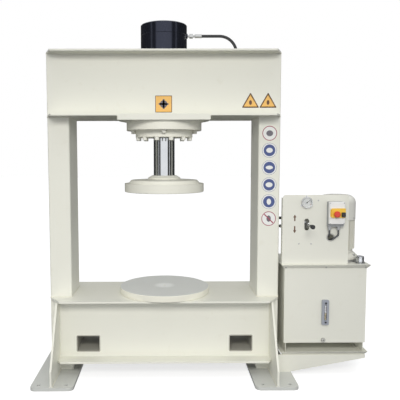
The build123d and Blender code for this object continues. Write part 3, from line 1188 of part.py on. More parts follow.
def motor_housing():
    """Finned motor body with its neck and mounting flange, bored for the rotor."""
    face, z1 = MOTOR_FACE, MOTOR_FACE + MOTOR_FLANGE_THICKNESS
    z2 = z1 + MOTOR_FLANGE_CONE
    z3 = z2 + MOTOR_NECK
    top = MOTOR_BODY_TOP
    neck, bevel = MOTOR_BODY_RADIUS - MOTOR_NECK_INSET, MOTOR_NECK_BEVEL
    body = turned(((0, face), (MOTOR_FLANGE_RADIUS, face), (MOTOR_FLANGE_RADIUS, z1),
                   (MOTOR_FIN_RADIUS, z2), (neck, z2 + bevel), (neck, z3 - bevel),
                   (MOTOR_BODY_RADIUS, z3), (MOTOR_BODY_RADIUS, top - COWL_OVERLAP),
                   (MOTOR_FIN_RADIUS, top - COWL_OVERLAP), (MOTOR_FIN_RADIUS, top), (0, top)))
    fin = span(MOTOR_BODY_RADIUS - MOTOR_FIN_ROOT, MOTOR_FIN_RADIUS, -MOTOR_FIN_THICKNESS / 2,
               MOTOR_FIN_THICKNESS / 2, z3, top - COWL_OVERLAP)
    for i in range(MOTOR_FIN_COUNT):
        body += Rot(0, 0, 360.0 * i / MOTOR_FIN_COUNT) * fin
    pad_half = TERMINAL_BOX_WIDTH / 2 - TERMINAL_PAD_INSET
    pad_top = TERMINAL_BOX_Z + TERMINAL_BOX_HEIGHT - TERMINAL_PAD_INSET
    body += span(-TERMINAL_PAD_REACH, -MOTOR_BODY_RADIUS / 2, -pad_half, pad_half,
                 TERMINAL_BOX_Z + TERMINAL_PAD_INSET, pad_top)
    body -= disc(ROTOR_RADIUS + ROTOR_AIR_GAP, z3, top - MOTOR_END_WALL)
    body -= disc(SHAFT_RADIUS + RUNNING_GAP, face - 1, top + 1)
    return Pos(MOTOR_X, 0, 0) * body


def fan_cowl():
    """Domed sheet cowl with radial air slots, over the fan."""
    low = MOTOR_BODY_TOP - COWL_OVERLAP
    top = low + COWL_HEIGHT
    t, s = COWL_SHEET, COWL_SHOULDER
    r = MOTOR_FIN_RADIUS + t

    def bell(radius, height, shoulder):
        """Solid of the cowl's outline: straight wall, round shoulder, flat top."""
        wall = Line((radius, low), (radius, height - shoulder))
        arc = RadiusArc((radius, height - shoulder), (radius - shoulder, height), -shoulder)
        lines = [wall, arc, Line((radius - shoulder, height), (0, height)),
                 Line((0, height), (0, low)), Line((0, low), (radius, low))]
        return revolve(make_face(Plane.XZ * Wire(lines)), axis=Axis.Z)

    cowl = bell(r, top, s) - bell(r - t, top - t, s - t)
    slot = Pos((COWL_SLOT_INNER + COWL_SLOT_OUTER) / 2, 0) * SlotOverall(
        COWL_SLOT_OUTER - COWL_SLOT_INNER, COWL_SLOT_WIDTH)
    cutter = Pos(0, 0, top - 2 * t) * extrude(slot, amount=3 * t)
    for i in range(COWL_SLOT_COUNT):
        cowl -= Rot(0, 0, 360.0 * i / COWL_SLOT_COUNT) * cutter
    return Pos(MOTOR_X, 0, 0) * cowl


def motor_fan():
    """Cooling fan: a disc, a hub and radial blades."""
    low = MOTOR_BODY_TOP + FAN_RISE
    fan = disc(FAN_RADIUS, low, low + FAN_DISC) + disc(FAN_HUB_RADIUS, low, low + FAN_BLADE_HEIGHT)
    blade = span(FAN_HUB_RADIUS - 1, FAN_RADIUS, -FAN_BLADE_THICKNESS / 2, FAN_BLADE_THICKNESS / 2,
                 low, low + FAN_BLADE_HEIGHT)
    for i in range(FAN_BLADE_COUNT):
        fan += Rot(0, 0, 360.0 * i / FAN_BLADE_COUNT) * blade
    return Pos(MOTOR_X, 0, 0) * (fan - disc(SHAFT_RADIUS, low - 1, low + FAN_BLADE_HEIGHT + 1))


def motor_rotor():
    """Rotor core on its shaft."""
    low = MOTOR_BODY_BOTTOM + ROTOR_END_GAP
    high = MOTOR_BODY_TOP - MOTOR_END_WALL - ROTOR_END_GAP
    shaft_top = MOTOR_BODY_TOP + FAN_RISE + FAN_BLADE_HEIGHT
    rotor = disc(ROTOR_RADIUS, low, high) + disc(SHAFT_RADIUS, SHAFT_BOTTOM, shaft_top)
    return Pos(MOTOR_X, 0, 0) * rotor


def terminal_box():
    """Terminal box on the motor's flat pad, with a shallow lid step."""
    half = TERMINAL_BOX_WIDTH / 2
    z0, z1 = TERMINAL_BOX_Z, TERMINAL_BOX_Z + TERMINAL_BOX_HEIGHT
    seam = TERMINAL_BOX_X + TERMINAL_LID_DEPTH
    box = rounded_block(seam, MOTOR_X - TERMINAL_PAD_REACH, -half, half, z0, z1, TERMINAL_BOX_CORNER)
    inset = TERMINAL_LID_INSET
    lid = span(TERMINAL_BOX_X, seam, -half + inset, half - inset, z0 + inset, z1 - inset)
    return box + chamfer(lid.faces().sort_by(Axis.X)[0].edges(), inset)


def bell_housing():
    """Flanged housing that hangs the pump under the motor, with two side windows."""
    outer = disc(MOTOR_FLANGE_RADIUS, LID_TOP, MOTOR_FACE) + disc(BELL_TUBE_RADIUS, BELL_BOTTOM, LID_TOP)
    outer -= disc(BELL_BORE_RADIUS, BELL_BOTTOM + BELL_FLOOR, MOTOR_FACE + 1)
    outer -= disc(PUMP_SHAFT_RADIUS + BELL_SHAFT_GAP, BELL_BOTTOM - 1, BELL_BOTTOM + BELL_FLOOR + 1)
    z = BELL_BOTTOM + BELL_FLOOR + BELL_WINDOW_RISE
    outer -= span(-BELL_WINDOW_WIDTH / 2, BELL_WINDOW_WIDTH / 2, -BELL_TUBE_RADIUS, BELL_TUBE_RADIUS,
                  z, z + BELL_WINDOW_HEIGHT)
    return Pos(MOTOR_X, 0, 0) * outer


def pump_coupling():
    """Coupling sleeve on the motor shaft, with the pump's drive shaft below."""
    sleeve = disc(COUPLING_RADIUS, COUPLING_BOTTOM, COUPLING_TOP)
    middle = (COUPLING_BOTTOM + COUPLING_TOP) / 2
    half = COUPLING_GROOVE / 2
    groove = disc(COUPLING_RADIUS + 1, middle - half, middle + half)
    groove -= disc(COUPLING_RADIUS - COUPLING_RELIEF, middle - half - 1, middle + half + 1)
    sleeve -= groove
    sleeve -= disc(SHAFT_RADIUS, SHAFT_BOTTOM, COUPLING_TOP + 1)
    sleeve += disc(PUMP_SHAFT_RADIUS, COUPLING_BOTTOM - PUMP_SHAFT_LENGTH, COUPLING_BOTTOM)
    return Pos(MOTOR_X, 0, 0) * sleeve


def gear_pump():
    """Gear pump under the bell housing, with its suction tube and strainer."""
    sketch = RectangleRounded(PUMP_WIDTH, PUMP_DEPTH, PUMP_CORNER)
    body = Pos(0, 0, PUMP_BOTTOM) * extrude(sketch, amount=PUMP_HEIGHT)
    shaft_end = COUPLING_BOTTOM - PUMP_SHAFT_LENGTH
    body -= disc(PUMP_SHAFT_RADIUS + RUNNING_GAP, shaft_end - 1, BELL_BOTTOM + 1)
    body += disc(SUCTION_RADIUS, PUMP_BOTTOM - SUCTION_LENGTH, PUMP_BOTTOM)
    low = PUMP_BOTTOM - SUCTION_LENGTH - STRAINER_LENGTH
    body += disc(STRAINER_RADIUS, low, PUMP_BOTTOM - SUCTION_LENGTH)
    return Pos(MOTOR_X, 0, 0) * body


def oil_pipes():
    """Pressure pipe, return pipe and the thin line to the gauge."""
    port_z = PUMP_BOTTOM + PUMP_HEIGHT / 2
    pressure = swept(((MOTOR_X - PUMP_WIDTH / 2, 0, port_z), (PRESSURE_PIPE_X, 0, port_z),
                      (PRESSURE_PIPE_X, 0, BLOCK_Z)), (PIPE_BEND,), PIPE_RADIUS)[0]
    back = disc(PIPE_RADIUS, TANK_BOTTOM + RETURN_PIPE_CLEARANCE, BLOCK_Z, RETURN_PIPE_X)
    stem = PANEL_Y + GAUGE_BODY_LENGTH
    middle = (BLOCK_FRONT_Y + BLOCK_BACK_Y) / 2
    gauge_line = swept(((GAUGE_X, stem, GAUGE_Z), (GAUGE_X, middle, GAUGE_Z),
                        (GAUGE_X, middle, BLOCK_TOP)), (GAUGE_PIPE_BEND,), GAUGE_PIPE_RADIUS)[0]
    return Compound(children=[pressure, back, gauge_line])


def valve_block():
    """Manifold with the spool housing, the lever's ears and pin, and the relief valve."""
    block = span(BLOCK_LEFT, BLOCK_LEFT + BLOCK_WIDTH, BLOCK_FRONT_Y, BLOCK_BACK_Y, BLOCK_Z, BLOCK_TOP)
    block = chamfer(block.edges(), BLOCK_EDGE)
    half = SPOOL_HOUSING_WIDTH / 2
    block += span(VALVE_X - half, VALVE_X + half, HOUSING_FRONT_Y, BLOCK_FRONT_Y + SPOOL_HOUSING_ROOT,
                  BLOCK_Z, HOUSING_TOP)
    for side in (-1, 1):
        inner = LEVER_HUB_WIDTH / 2 + EAR_GAP
        ends = sorted((VALVE_X + side * inner, VALVE_X + side * (inner + EAR_THICKNESS)))
        block += span(*ends, LEVER_Y - LEVER_HUB_RADIUS, HOUSING_FRONT_Y + EAR_ROOT,
                      HOUSING_TOP - EAR_DROP, LEVER_Z + LEVER_HUB_RADIUS)
    pin_half = LEVER_HUB_WIDTH / 2 + EAR_GAP + EAR_THICKNESS
    block += bar_x(LEVER_PIN_RADIUS, VALVE_X - pin_half, VALVE_X + pin_half, LEVER_Y, LEVER_Z)
    block -= disc(SPOOL_RADIUS, HOUSING_TOP - SPOOL_POCKET_DEPTH, HOUSING_TOP + 1, VALVE_X, SPOOL_Y)
    right = BLOCK_LEFT + BLOCK_WIDTH
    relief_y = (BLOCK_FRONT_Y + BLOCK_BACK_Y) / 2
    relief_z = BLOCK_Z + BLOCK_HEIGHT / 2
    block += bar_x(RELIEF_RADIUS, right, right + RELIEF_LENGTH, relief_y, relief_z)
    block += bar_x(RELIEF_KNOB_RADIUS, right + RELIEF_LENGTH - RELIEF_KNOB_LENGTH,
                   right + RELIEF_LENGTH, relief_y, relief_z)
    return block


def valve_spool():
    """Spool with the neck that the lever's fork works in."""
    r, n = SPOOL_RADIUS - RUNNING_GAP, SPOOL_NECK_RADIUS
    low = HOUSING_TOP - SPOOL_POCKET_DEPTH + SPOOL_TRAVEL_GAP
    neck0, neck1 = LEVER_Z - SPOOL_NECK_LENGTH / 2, LEVER_Z + SPOOL_NECK_LENGTH / 2
    return turned(((0, low), (r, low), (r, neck0), (n, neck0), (n, neck1),
                   (r, neck1), (r, neck1 + SPOOL_HEAD), (0, neck1 + SPOOL_HEAD)), VALVE_X, SPOOL_Y)


def control_lever():
    """Lever: hub on the pin, fork round the spool's neck, rod out through the slot."""
    lever = bar_x(LEVER_HUB_RADIUS, VALVE_X - LEVER_HUB_WIDTH / 2, VALVE_X + LEVER_HUB_WIDTH / 2,
                  LEVER_Y, LEVER_Z)
    end = LEVER_Y - LEVER_REACH
    lever += bar_y(LEVER_ROD_RADIUS, end, LEVER_Y, VALVE_X, LEVER_Z)
    half, thick = LEVER_FORK_WIDTH / 2, LEVER_FORK_THICKNESS / 2
    tip = SPOOL_Y + SPOOL_NECK_RADIUS
    fork = span(VALVE_X - half, VALVE_X + half, LEVER_Y, tip, LEVER_Z - thick, LEVER_Z + thick)
    gap = SPOOL_NECK_RADIUS + LEVER_FORK_GAP
    slot = span(VALVE_X - gap, VALVE_X + gap, SPOOL_Y, tip + 1, LEVER_Z - thick - 1, LEVER_Z + thick + 1)
    fork -= slot + disc(gap, LEVER_Z - thick - 1, LEVER_Z + thick + 1, VALVE_X, SPOOL_Y)
    lever += fork
    return lever - bar_x(LEVER_PIN_RADIUS + RUNNING_GAP, VALVE_X - LEVER_HUB_WIDTH,
                         VALVE_X + LEVER_HUB_WIDTH, LEVER_Y, LEVER_Z)


def lever_grip():
    """Tapered grip on the end of the lever."""
    end = LEVER_Y - LEVER_REACH
    back = end + GRIP_LENGTH / 3
    front = back - GRIP_LENGTH
    outline = make_face(Polyline((0, front), (GRIP_RADIUS - GRIP_END_EDGE, front),
                                 (GRIP_RADIUS, front + GRIP_END_BEVEL), (GRIP_RADIUS, front + GRIP_BAND),
                                 (GRIP_NECK_RADIUS, back - GRIP_NECK_BEVEL),
                                 (GRIP_NECK_RADIUS - GRIP_NECK_EDGE, back), (0, back), close=True))
    grip = Pos(VALVE_X, 0, LEVER_Z) * revolve(outline, axis=Axis.Y)
    return grip - bar_y(LEVER_ROD_RADIUS, end, back + 1, VALVE_X, LEVER_Z)


def build():
    """Make every piece and write it."""
    os.makedirs("parts", exist_ok=True)
    for side, word in ((-1, "left"), (1, "right")):
        save(foot(side), f"foot_{word}")
        save(column(side), f"column_{word}")
        save(fork_sleeve(side), f"fork_sleeve_{word}")
    for side, word in ((-1, "front"), (1, "back")):
        save(bed_channel(side), f"bed_{word}_channel")
        save(channel(HEAD_BOTTOM, side, HEAD_END_CUT, BEAM_END), f"head_{word}_channel")
    save(bed_table(), "bed_table")
    save(head_plate(HEAD_BOTTOM, COLUMN_INNER, False), "head_bottom_plate")
    save(head_plate(HEAD_TOP - FLANGE_THICKNESS, HALF, True), "head_top_plate")
    save(mounting_plate(), "mounting_plate")
    save(lower_plate(), "lower_plate")
    save(cylinder_flange(), "cylinder_flange")
    save(cylinder_barrel(), "cylinder_barrel")
    save(cylinder_end_cap(), "cylinder_end_cap")
    save(cylinder_gland(), "cylinder_gland")
    save(cap_screws(FLANGE_SCREW_CIRCLE, FLANGE_SCREW_COUNT, 0.0, GLAND_FACE, FLANGE_SCREW_GRIP),
         "flange_screws")
    save(cap_screws(GLAND_SCREW_CIRCLE, GLAND_SCREW_COUNT, 180.0 / GLAND_SCREW_COUNT,
                    GLAND_BOTTOM, GLAND_SCREW_GRIP), "gland_screws")
    save(piston(), "piston")
    save(piston_rod(), "piston_rod")
    save(pressing_plate(), "pressing_plate")
    save(hose_fittings(), "hose_fittings")
    for node, route, radii, radius in cords():
        save(cord(route, radii, radius, node), node)
    save(tray_bracket(), "tray_bracket")
    save(drip_tray(), "drip_tray")
    save(tank_body(), "tank_body")
    save(tank_lid(), "tank_lid")
    save(level_gauge(), "level_gauge")
    save(drain_plug(), "drain_plug")
    save(breather_cap(), "breather_cap")
    save(instrument_panel(), "instrument_panel")
    save(gauge_case(), "gauge_case")
    save(gauge_dial(), "gauge_dial")
    save(gauge_glass(), "gauge_glass")
    save(gauge_needle(), "gauge_needle")
    save(switch_base(), "switch_base")
    save(switch_cover(), "switch_cover")
    save(stop_flap(), "stop_flap")
    save(stop_button(), "stop_button")
    save(flap_latch(), "flap_latch")
    save(cable_glands(), "cable_glands")
    save(motor_housing(), "motor_housing")
    save(fan_cowl(), "fan_cowl")
    save(motor_fan(), "motor_fan")
    save(motor_rotor(), "motor_rotor")
    save(terminal_box(), "terminal_box")
    save(bell_housing(), "bell_housing")
    save(pump_coupling(), "pump_coupling")
    save(gear_pump(), "gear_pump")
    save(oil_pipes(), "oil_pipes")
    save(valve_block(), "valve_block")
    save(valve_spool(), "valve_spool")
    save(control_lever(), "control_lever")
    save(lever_grip(), "lever_grip")


build()
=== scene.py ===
import math

import bmesh
import bpy
from mathutils import Matrix, Vector


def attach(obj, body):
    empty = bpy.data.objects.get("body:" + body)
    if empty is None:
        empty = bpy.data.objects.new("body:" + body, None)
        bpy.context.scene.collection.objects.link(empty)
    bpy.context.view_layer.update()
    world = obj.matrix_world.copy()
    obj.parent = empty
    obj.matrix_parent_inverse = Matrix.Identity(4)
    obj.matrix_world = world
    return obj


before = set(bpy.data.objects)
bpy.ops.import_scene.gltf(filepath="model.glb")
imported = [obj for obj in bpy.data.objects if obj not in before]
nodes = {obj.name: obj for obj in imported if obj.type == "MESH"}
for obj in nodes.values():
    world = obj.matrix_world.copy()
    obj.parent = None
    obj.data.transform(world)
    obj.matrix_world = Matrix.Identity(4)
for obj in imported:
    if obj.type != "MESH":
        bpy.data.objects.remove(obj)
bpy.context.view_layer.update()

scene = bpy.context.scene
scene.view_settings.view_transform = "Standard"

# The press is seen from the front at chest height, a little to the right of its
# middle, through a normal lens. The picture was cropped afterwards, so the lens
# is shifted.
lens = bpy.data.cameras.new("lens")
lens.lens = 48.555
lens.sensor_width = 36.0
lens.shift_x = 0.07835
lens.shift_y = -0.00368
lens.clip_end = 100.0
viewer = bpy.data.objects.new("viewer", lens)
scene.collection.objects.link(viewer)
stand = Matrix.Translation((0.01079, -3.62486, 1.43132))
yaw = Matrix.Rotation(math.radians(-0.296), 4, "Z")
pitch = Matrix.Rotation(math.radians(90.0 - 4.628), 4, "X")
roll = Matrix.Rotation(math.radians(-0.119), 4, "Z")
viewer.matrix_world = stand @ yaw @ pitch @ roll
scene.camera = viewer


class Channel:
    """One socket of a shader; arithmetic on it adds Math nodes."""

    def __init__(self, recipe, socket):
        self.recipe = recipe
        self.socket = socket

    def __add__(self, other):
        return self.recipe.maths("ADD", self, other)

    def __sub__(self, other):
        return self.recipe.maths("SUBTRACT", self, other)

    def __rsub__(self, other):
        return self.recipe.maths("SUBTRACT", other, self)

    def __mul__(self, other):
        return self.recipe.maths("MULTIPLY", self, other)

    __radd__ = __add__
    __rmul__ = __mul__


class Recipe:
    """The nodes of one material, or of the studio's surroundings."""

    def __init__(self, owner):
        owner.use_nodes = True
        self.owner = owner
        self.tree = owner.node_tree
        self.place = self.node("TexCoord", output="Object") if owner.name != "studio" else None

    def node(self, kind, settings=None, values=None, output=0):
        """Adds a node: its type, its settings, and the values or links of its sockets."""
        made = self.tree.nodes.new("ShaderNode" + kind)
        for name, value in (settings or {}).items():
            setattr(made, name, value)
        self.feed(made, values or {})
        return Channel(self, made.outputs[output])

    def feed(self, made, values):
        """Sets or links the sockets of a node."""
        for name, value in values.items():
            if isinstance(value, Channel):
                self.tree.links.new(value.socket, made.inputs[name])
            else:
                made.inputs[name].default_value = value

    def maths(self, operation, first, second=0.0):
        return self.node("Math", {"operation": operation}, {0: first, 1: second})

    def principled(self, **values):
        """Feeds the material's own shader, and returns the material."""
        names = {name.replace("_", " "): value for name, value in values.items()}
        self.feed(self.tree.nodes["Principled BSDF"], names)
        return self.owner

    def split(self, vector):
        """The X, Y and Z of a vector, each as a channel."""
        made = self.node("SeparateXYZ", values={0: vector}).socket.node
        return [Channel(self, out) for out in made.outputs]

    def colour(self, mask, low, high):
        """The colour low where the mask is 0, and high where it is 1."""
        return self.node("Mix", {"data_type": "RGBA"}, {0: mask, 6: low, 7: high}, 2)

    def rise(self, value, start, end):
        """0 before start, 1 after end, smooth between them."""
        return self.node("MapRange", {"interpolation_type": "SMOOTHSTEP"},
                         {"Value": value, "From Min": start, "From Max": end})

    def band(self, value, start, end, soft):
        """1 between start and end, 0 outside them."""
        return self.rise(value, start, start + soft) * self.rise(value, end, end - soft)

    def patches(self, size, detail=2.0):
        """Soft patches of about this size in metres, from 0 to 1."""
        return self.node("TexNoise", values={"Vector": self.place, "Scale": 1.0 / size,
                                             "Detail": detail})

    def lines(self, value, detail):
        """Uneven lines across one direction, from 0 to 1."""
        return self.node("TexNoise", {"noise_dimensions": "1D"}, {"W": value, "Detail": detail})

    def bump(self, height, depth, strength):
        return self.node("Bump", values={"Height": height, "Distance": depth,
                                         "Strength": strength})


# The studio has a white floor and pale surroundings: a band of wall all round
# and a roof light the press softly, and one lamp stands above and behind the
# viewer. Shining metal shows a soft box, a slit of light and a ceiling instead.
white = (1.0, 1.0, 1.0, 1.0)
studio = bpy.data.worlds.new("studio")
scene.world = studio
air = Recipe(studio)
ray = air.node("LightPath").socket.node
seen = Channel(air, ray.outputs["Is Camera Ray"]) + Channel(air, ray.outputs["Is Transmission Ray"])
mirrored = Channel(air, ray.outputs["Is Glossy Ray"])
look = air.split(air.node("TexCoord", output="Generated"))
sideways = air.maths("ABSOLUTE", look[0])
ahead = air.rise(look[1], 0.10, -0.25)
soft_box = ahead * air.rise(sideways + look[1] * 0.80, 0.06, -0.02)
slit = air.rise(air.maths("ABSOLUTE", sideways - 0.87), 0.035, 0.015) * ahead
ceiling = air.rise(look[2], 0.35, 0.70)
lit = air.maths("MAXIMUM", soft_box, slit * 0.8)
lit = air.maths("MAXIMUM", lit, ceiling * 0.75)
reflected = 0.04 + lit * 1.25
off_level = air.maths("ABSOLUTE", look[2] - 0.04)
wall = air.rise(off_level, 0.44, 0.30) * (0.62 + air.rise(look[1], 0.20, -0.20) * 0.16)
roof = air.rise(look[2], 0.66, 0.88)
ambient = 0.03 + air.rise(look[2], -0.15, 0.15) * 0.11 + wall + roof * 1.10
level = ambient + mirrored * (reflected - ambient)
level = level + seen * (1.0 - level)
background = studio.node_tree.nodes["Background"]
cool_white = (0.97, 0.985, 1.0, 1.0)
air.feed(background, {"Color": air.colour(seen, cool_white, white), "Strength": level})

lamp = bpy.data.lights.new("lamp_front", "AREA")
lamp.color = (1.0, 0.985, 0.945)
lamp.shape = "RECTANGLE"
lamp.size, lamp.size_y = 2.6, 1.2
lamp.spread = math.radians(80.0)
lamp.energy = 26.0
lamp_stand = bpy.data.objects.new("lamp_front", lamp)
lamp_stand.visible_glossy = False
scene.collection.objects.link(lamp_stand)
lamp_spot, lamp_aim = Vector((0.0, -4.2, 3.0)), Vector((0.0, 0.0, 0.25))
lamp_turn = (lamp_aim - lamp_spot).to_track_quat("-Z", "Y").to_matrix().to_4x4()
lamp_stand.matrix_world = Matrix.Translation(lamp_spot) @ lamp_turn

floor_mesh = bmesh.new()
bmesh.ops.create_grid(floor_mesh, x_segments=1, y_segments=1, size=30.0)
floor_data = bpy.data.meshes.new("floor")
floor_mesh.to_mesh(floor_data)
floor_mesh.free()
ground = bpy.data.objects.new("floor", floor_data)
scene.collection.objects.link(ground)
paper = Recipe(bpy.data.materials.new("paper"))
paper_ray = paper.node("LightPath").socket.node
paper_seen = Channel(paper, paper_ray.outputs["Is Camera Ray"])
floor_data.materials.append(paper.principled(
    Base_Color=(0.50, 0.50, 0.50, 1.0), Roughness=0.9,
    Emission_Color=white, Emission_Strength=paper_seen * 0.72))
ground.visible_diffuse = False
ground.visible_glossy = False
ground.visible_shadow = False


# The whole press is sprayed in one cream enamel over sanded plate. The coat is
# half glossy, with a faint orange peel, and a little uneven from the spray gun.
# The foot plates, which lie on the floor, are painted a flat grey up to about 30 mm.
def enamel(name, tone, peel=0.00010, grey_near_floor=False):
    """Sprayed enamel with a slightly uneven tone; with the flag set it turns grey near the floor.
    """
    coat = Recipe(bpy.data.materials.new(name))
    drift = coat.patches(0.42, 3.0)
    grime = coat.rise(coat.patches(0.055, 5.0), 0.58, 0.78)
    low = tuple(part * 0.955 for part in tone) + (1.0,)
    high = tuple(min(1.0, part * 1.02) for part in tone) + (1.0,)
    worn = tuple(part * factor for part, factor in zip(tone, (0.90, 0.885, 0.85))) + (1.0,)
    shade = coat.colour(drift, low, high)
    shade = coat.colour(grime * 0.35, shade, worn)
    # Near the floor the tone turns a flat grey.
    if grey_near_floor:
        tone_above, grey_below = 0.032, 0.019
        floor_grey = coat.rise(coat.split(coat.place)[2], tone_above, grey_below)
        shade = coat.colour(floor_grey * 0.9, shade, (0.57, 0.58, 0.56, 1.0))
    skin = coat.patches(0.0035, 2.0)
    return coat.principled(Base_Color=shade, Roughness=0.36 + drift * 0.16,
                           Normal=coat.bump(skin, peel, 0.7))


def dress(material, *names):
    """Gives CAD nodes a finish."""
    for name in names:
        nodes[name].data.materials.clear()
        nodes[name].data.materials.append(material)


cream = (0.795, 0.790, 0.710)
cream_enamel = enamel("cream_enamel", cream)
dress(enamel("foot_enamel", cream, grey_near_floor=True), "foot_left", "foot_right")
dress(cream_enamel, "column_left", "column_right", "bed_front_channel",
      "bed_back_channel", "head_front_channel", "head_back_channel", "bed_table",
      "head_bottom_plate", "head_top_plate", "mounting_plate", "tray_bracket")
# The fork sleeves are the frame's cream at about half its brightness: painted shade for the dark
# inside of the fork pockets.
dress(enamel("sleeve_enamel_painted_shade", (0.42, 0.41, 0.36)), "fork_sleeve_left", "fork_sleeve_right")


def shaded(shape, angle=0.6):
    """Smooth faces, with edges sharper than the angle kept sharp."""
    for face in shape.faces:
        face.smooth = True
    for edge in shape.edges:
        if len(edge.link_faces) == 2 and edge.calc_face_angle() > angle:
            edge.smooth = False


def piece(name, body, slot, shape, *materials):
    """Makes a finished shape a piece of the press that rides on a body."""
    shaded(shape)
    mesh = bpy.data.meshes.new(name)
    shape.to_mesh(mesh)
    shape.free()
    for material in materials:
        mesh.materials.append(material)
    made = bpy.data.objects.new(name, mesh)
    scene.collection.objects.link(made)
    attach(made, body)


# The plates are joined by hand-laid fillet welds that were painted over. Each
# is a rope of overlapping ripples in the corner between two plates.
weld_paint = Recipe(bpy.data.materials.new("weld_paint"))
ripple = weld_paint.node("TexNoise", values={"Vector": weld_paint.place, "Scale": 260.0,
                                             "Detail": 1.0})
lump = weld_paint.patches(0.016, 2.0)
weld_tone = weld_paint.colour(lump, (0.70, 0.68, 0.58, 1.0), (0.79, 0.77, 0.67, 1.0))
weld_paint.principled(Base_Color=weld_tone, Roughness=0.40 + lump * 0.12,
                      Normal=weld_paint.bump(ripple + lump, 0.0012, 0.8))


def weld(beads, start, end, size):
    """A straight weld bead: a round rope that waves a little in thickness."""
    start, end = Vector(start), Vector(end)
    run = end - start
    rings = max(2, int(run.length / 0.012))
    turn = run.to_track_quat("Z", "Y").to_matrix().to_4x4()
    place = Matrix.Translation((start + end) / 2) @ turn
    made = bmesh.ops.create_cone(beads, cap_ends=True, segments=8, radius1=size, radius2=size,
                                 depth=run.length, matrix=place)
    along = run.normalized()
    sides = {edge for vert in made["verts"] for edge in vert.link_edges
             if abs((edge.verts[0].co - edge.verts[1].co).normalized().dot(along)) > 0.99}
    cut = bmesh.ops.subdivide_edges(beads, edges=list(sides), cuts=rings, use_grid_fill=True)
    for item in cut["geom_inner"]:
        if isinstance(item, bmesh.types.BMVert):
            share = (item.co - start).dot(along)
            axis = start + along * share
            swell = 1.0 + 0.13 * math.sin(share * 520.0) + 0.07 * math.sin(share * 131.0)
            item.co = axis + (item.co - axis) * swell


beads = bmesh.new()
foot_top, bed_low, bed_top, head_bottom, head_top = 0.020, 0.102, 0.505, 1.674, 2.077
column_face, web_face, under_flange = 0.155, 0.169, 0.493
inner_x, outer_x, beam_end = 0.605, 0.745, 0.738
gusset_x, gusset_half, gusset_root, gusset_toe = 0.693, 0.006, 0.158, 0.443
plate_x, plate_front, plate_bend, plate_back_x, plate_back = 0.289, -0.272, -0.076, 0.200, 0.272
pocket_x, pocket_low, pocket_high, corner = 0.500, 0.142, 0.254, 0.012
pocket_half, pocket_side = 0.066, 0.078
bracket_start, bracket_toe, bracket_side, bracket_edge = 0.701, 0.812, 0.202, 0.212
for side in (-1, 1):
    for level_z in (bed_top, head_bottom):
        weld(beads, (side * inner_x, -column_face, level_z),
             (side * inner_x, column_face, level_z), 0.005)
        for front in (-1, 1):
            weld(beads, (side * inner_x, front * column_face, level_z),
                 (side * outer_x, front * column_face, level_z), 0.005)
    for front in (-1, 1):
        for x in (side * gusset_x - gusset_half, side * gusset_x + gusset_half):
            weld(beads, (x, front * gusset_root, foot_top),
                 (x, front * gusset_toe, foot_top), 0.005)
            weld(beads, (x, front * 0.176, under_flange), (x, front * 0.222, under_flange), 0.004)
            weld(beads, (x, front * web_face, 0.122), (x, front * web_face, 0.486), 0.004)
        for low, high in ((bed_low, bed_top), (head_bottom, head_top)):
            weld(beads, (side * beam_end, front * column_face, low),
                 (side * beam_end, front * column_face, high), 0.0045)
    weld(beads, (side * plate_x, plate_front, head_bottom),
         (side * plate_x, plate_bend, head_bottom), 0.004)
    weld(beads, (side * plate_x, plate_bend, head_bottom),
         (side * plate_back_x, plate_back, head_bottom), 0.004)
    # The tray bracket's and the fork pockets' beads are only at the back, and
    # each is laid once for each side, so it stands twice in one place.
    weld(beads, (bracket_start, bracket_side, foot_top),
         (bracket_toe, bracket_side, foot_top), 0.004)
    weld(beads, (0.699, bracket_edge, 0.024), (0.699, bracket_edge, 0.130), 0.004)
    for middle in (-pocket_x, pocket_x):
        for height in (pocket_low, pocket_high):
            weld(beads, (middle - pocket_half, web_face, height),
                 (middle + pocket_half, web_face, height), 0.0035)
        for x in (middle - pocket_side, middle + pocket_side):
            weld(beads, (x, web_face, pocket_low + corner),
                 (x, web_face, pocket_high - corner), 0.0035)
piece("weld_beads", "frame", "frame_paint", beads, weld_paint.owner)


# The signs are printed vinyl cut to shape and stuck on the paint. Here they are
# plain fields of colour: one square and two triangles on the head, six discs
# down the right column.
def vinyl(name, tone):
    """Printed vinyl, slightly faded in patches."""
    film = Recipe(bpy.data.materials.new(name))
    fade = film.patches(0.030, 3.0)
    full = tuple(tone) + (1.0,)
    pale = tuple(part * 0.90 + 0.03 for part in tone) + (1.0,)
    return film.principled(Base_Color=film.colour(fade, full, pale), Roughness=0.30 + fade * 0.10,
                           Normal=film.bump(film.patches(0.004), 0.00004, 0.5))


vinyl_white = vinyl("vinyl_white", (0.84, 0.84, 0.82))
vinyl_blue = vinyl("vinyl_blue", (0.050, 0.080, 0.240))
vinyl_maroon = vinyl("vinyl_maroon", (0.340, 0.045, 0.085))
vinyl_amber = vinyl("vinyl_amber", (0.860, 0.500, 0.130))
vinyl_dark = vinyl("vinyl_dark", (0.120, 0.048, 0.015))
vinyl_grey = vinyl("vinyl_grey", (0.140, 0.130, 0.150))
FILM = 0.0004


def faces_of(verts):
    """The faces at these vertices, each once and always in the same order."""
    return list(dict.fromkeys(face for vert in verts for face in vert.link_faces))


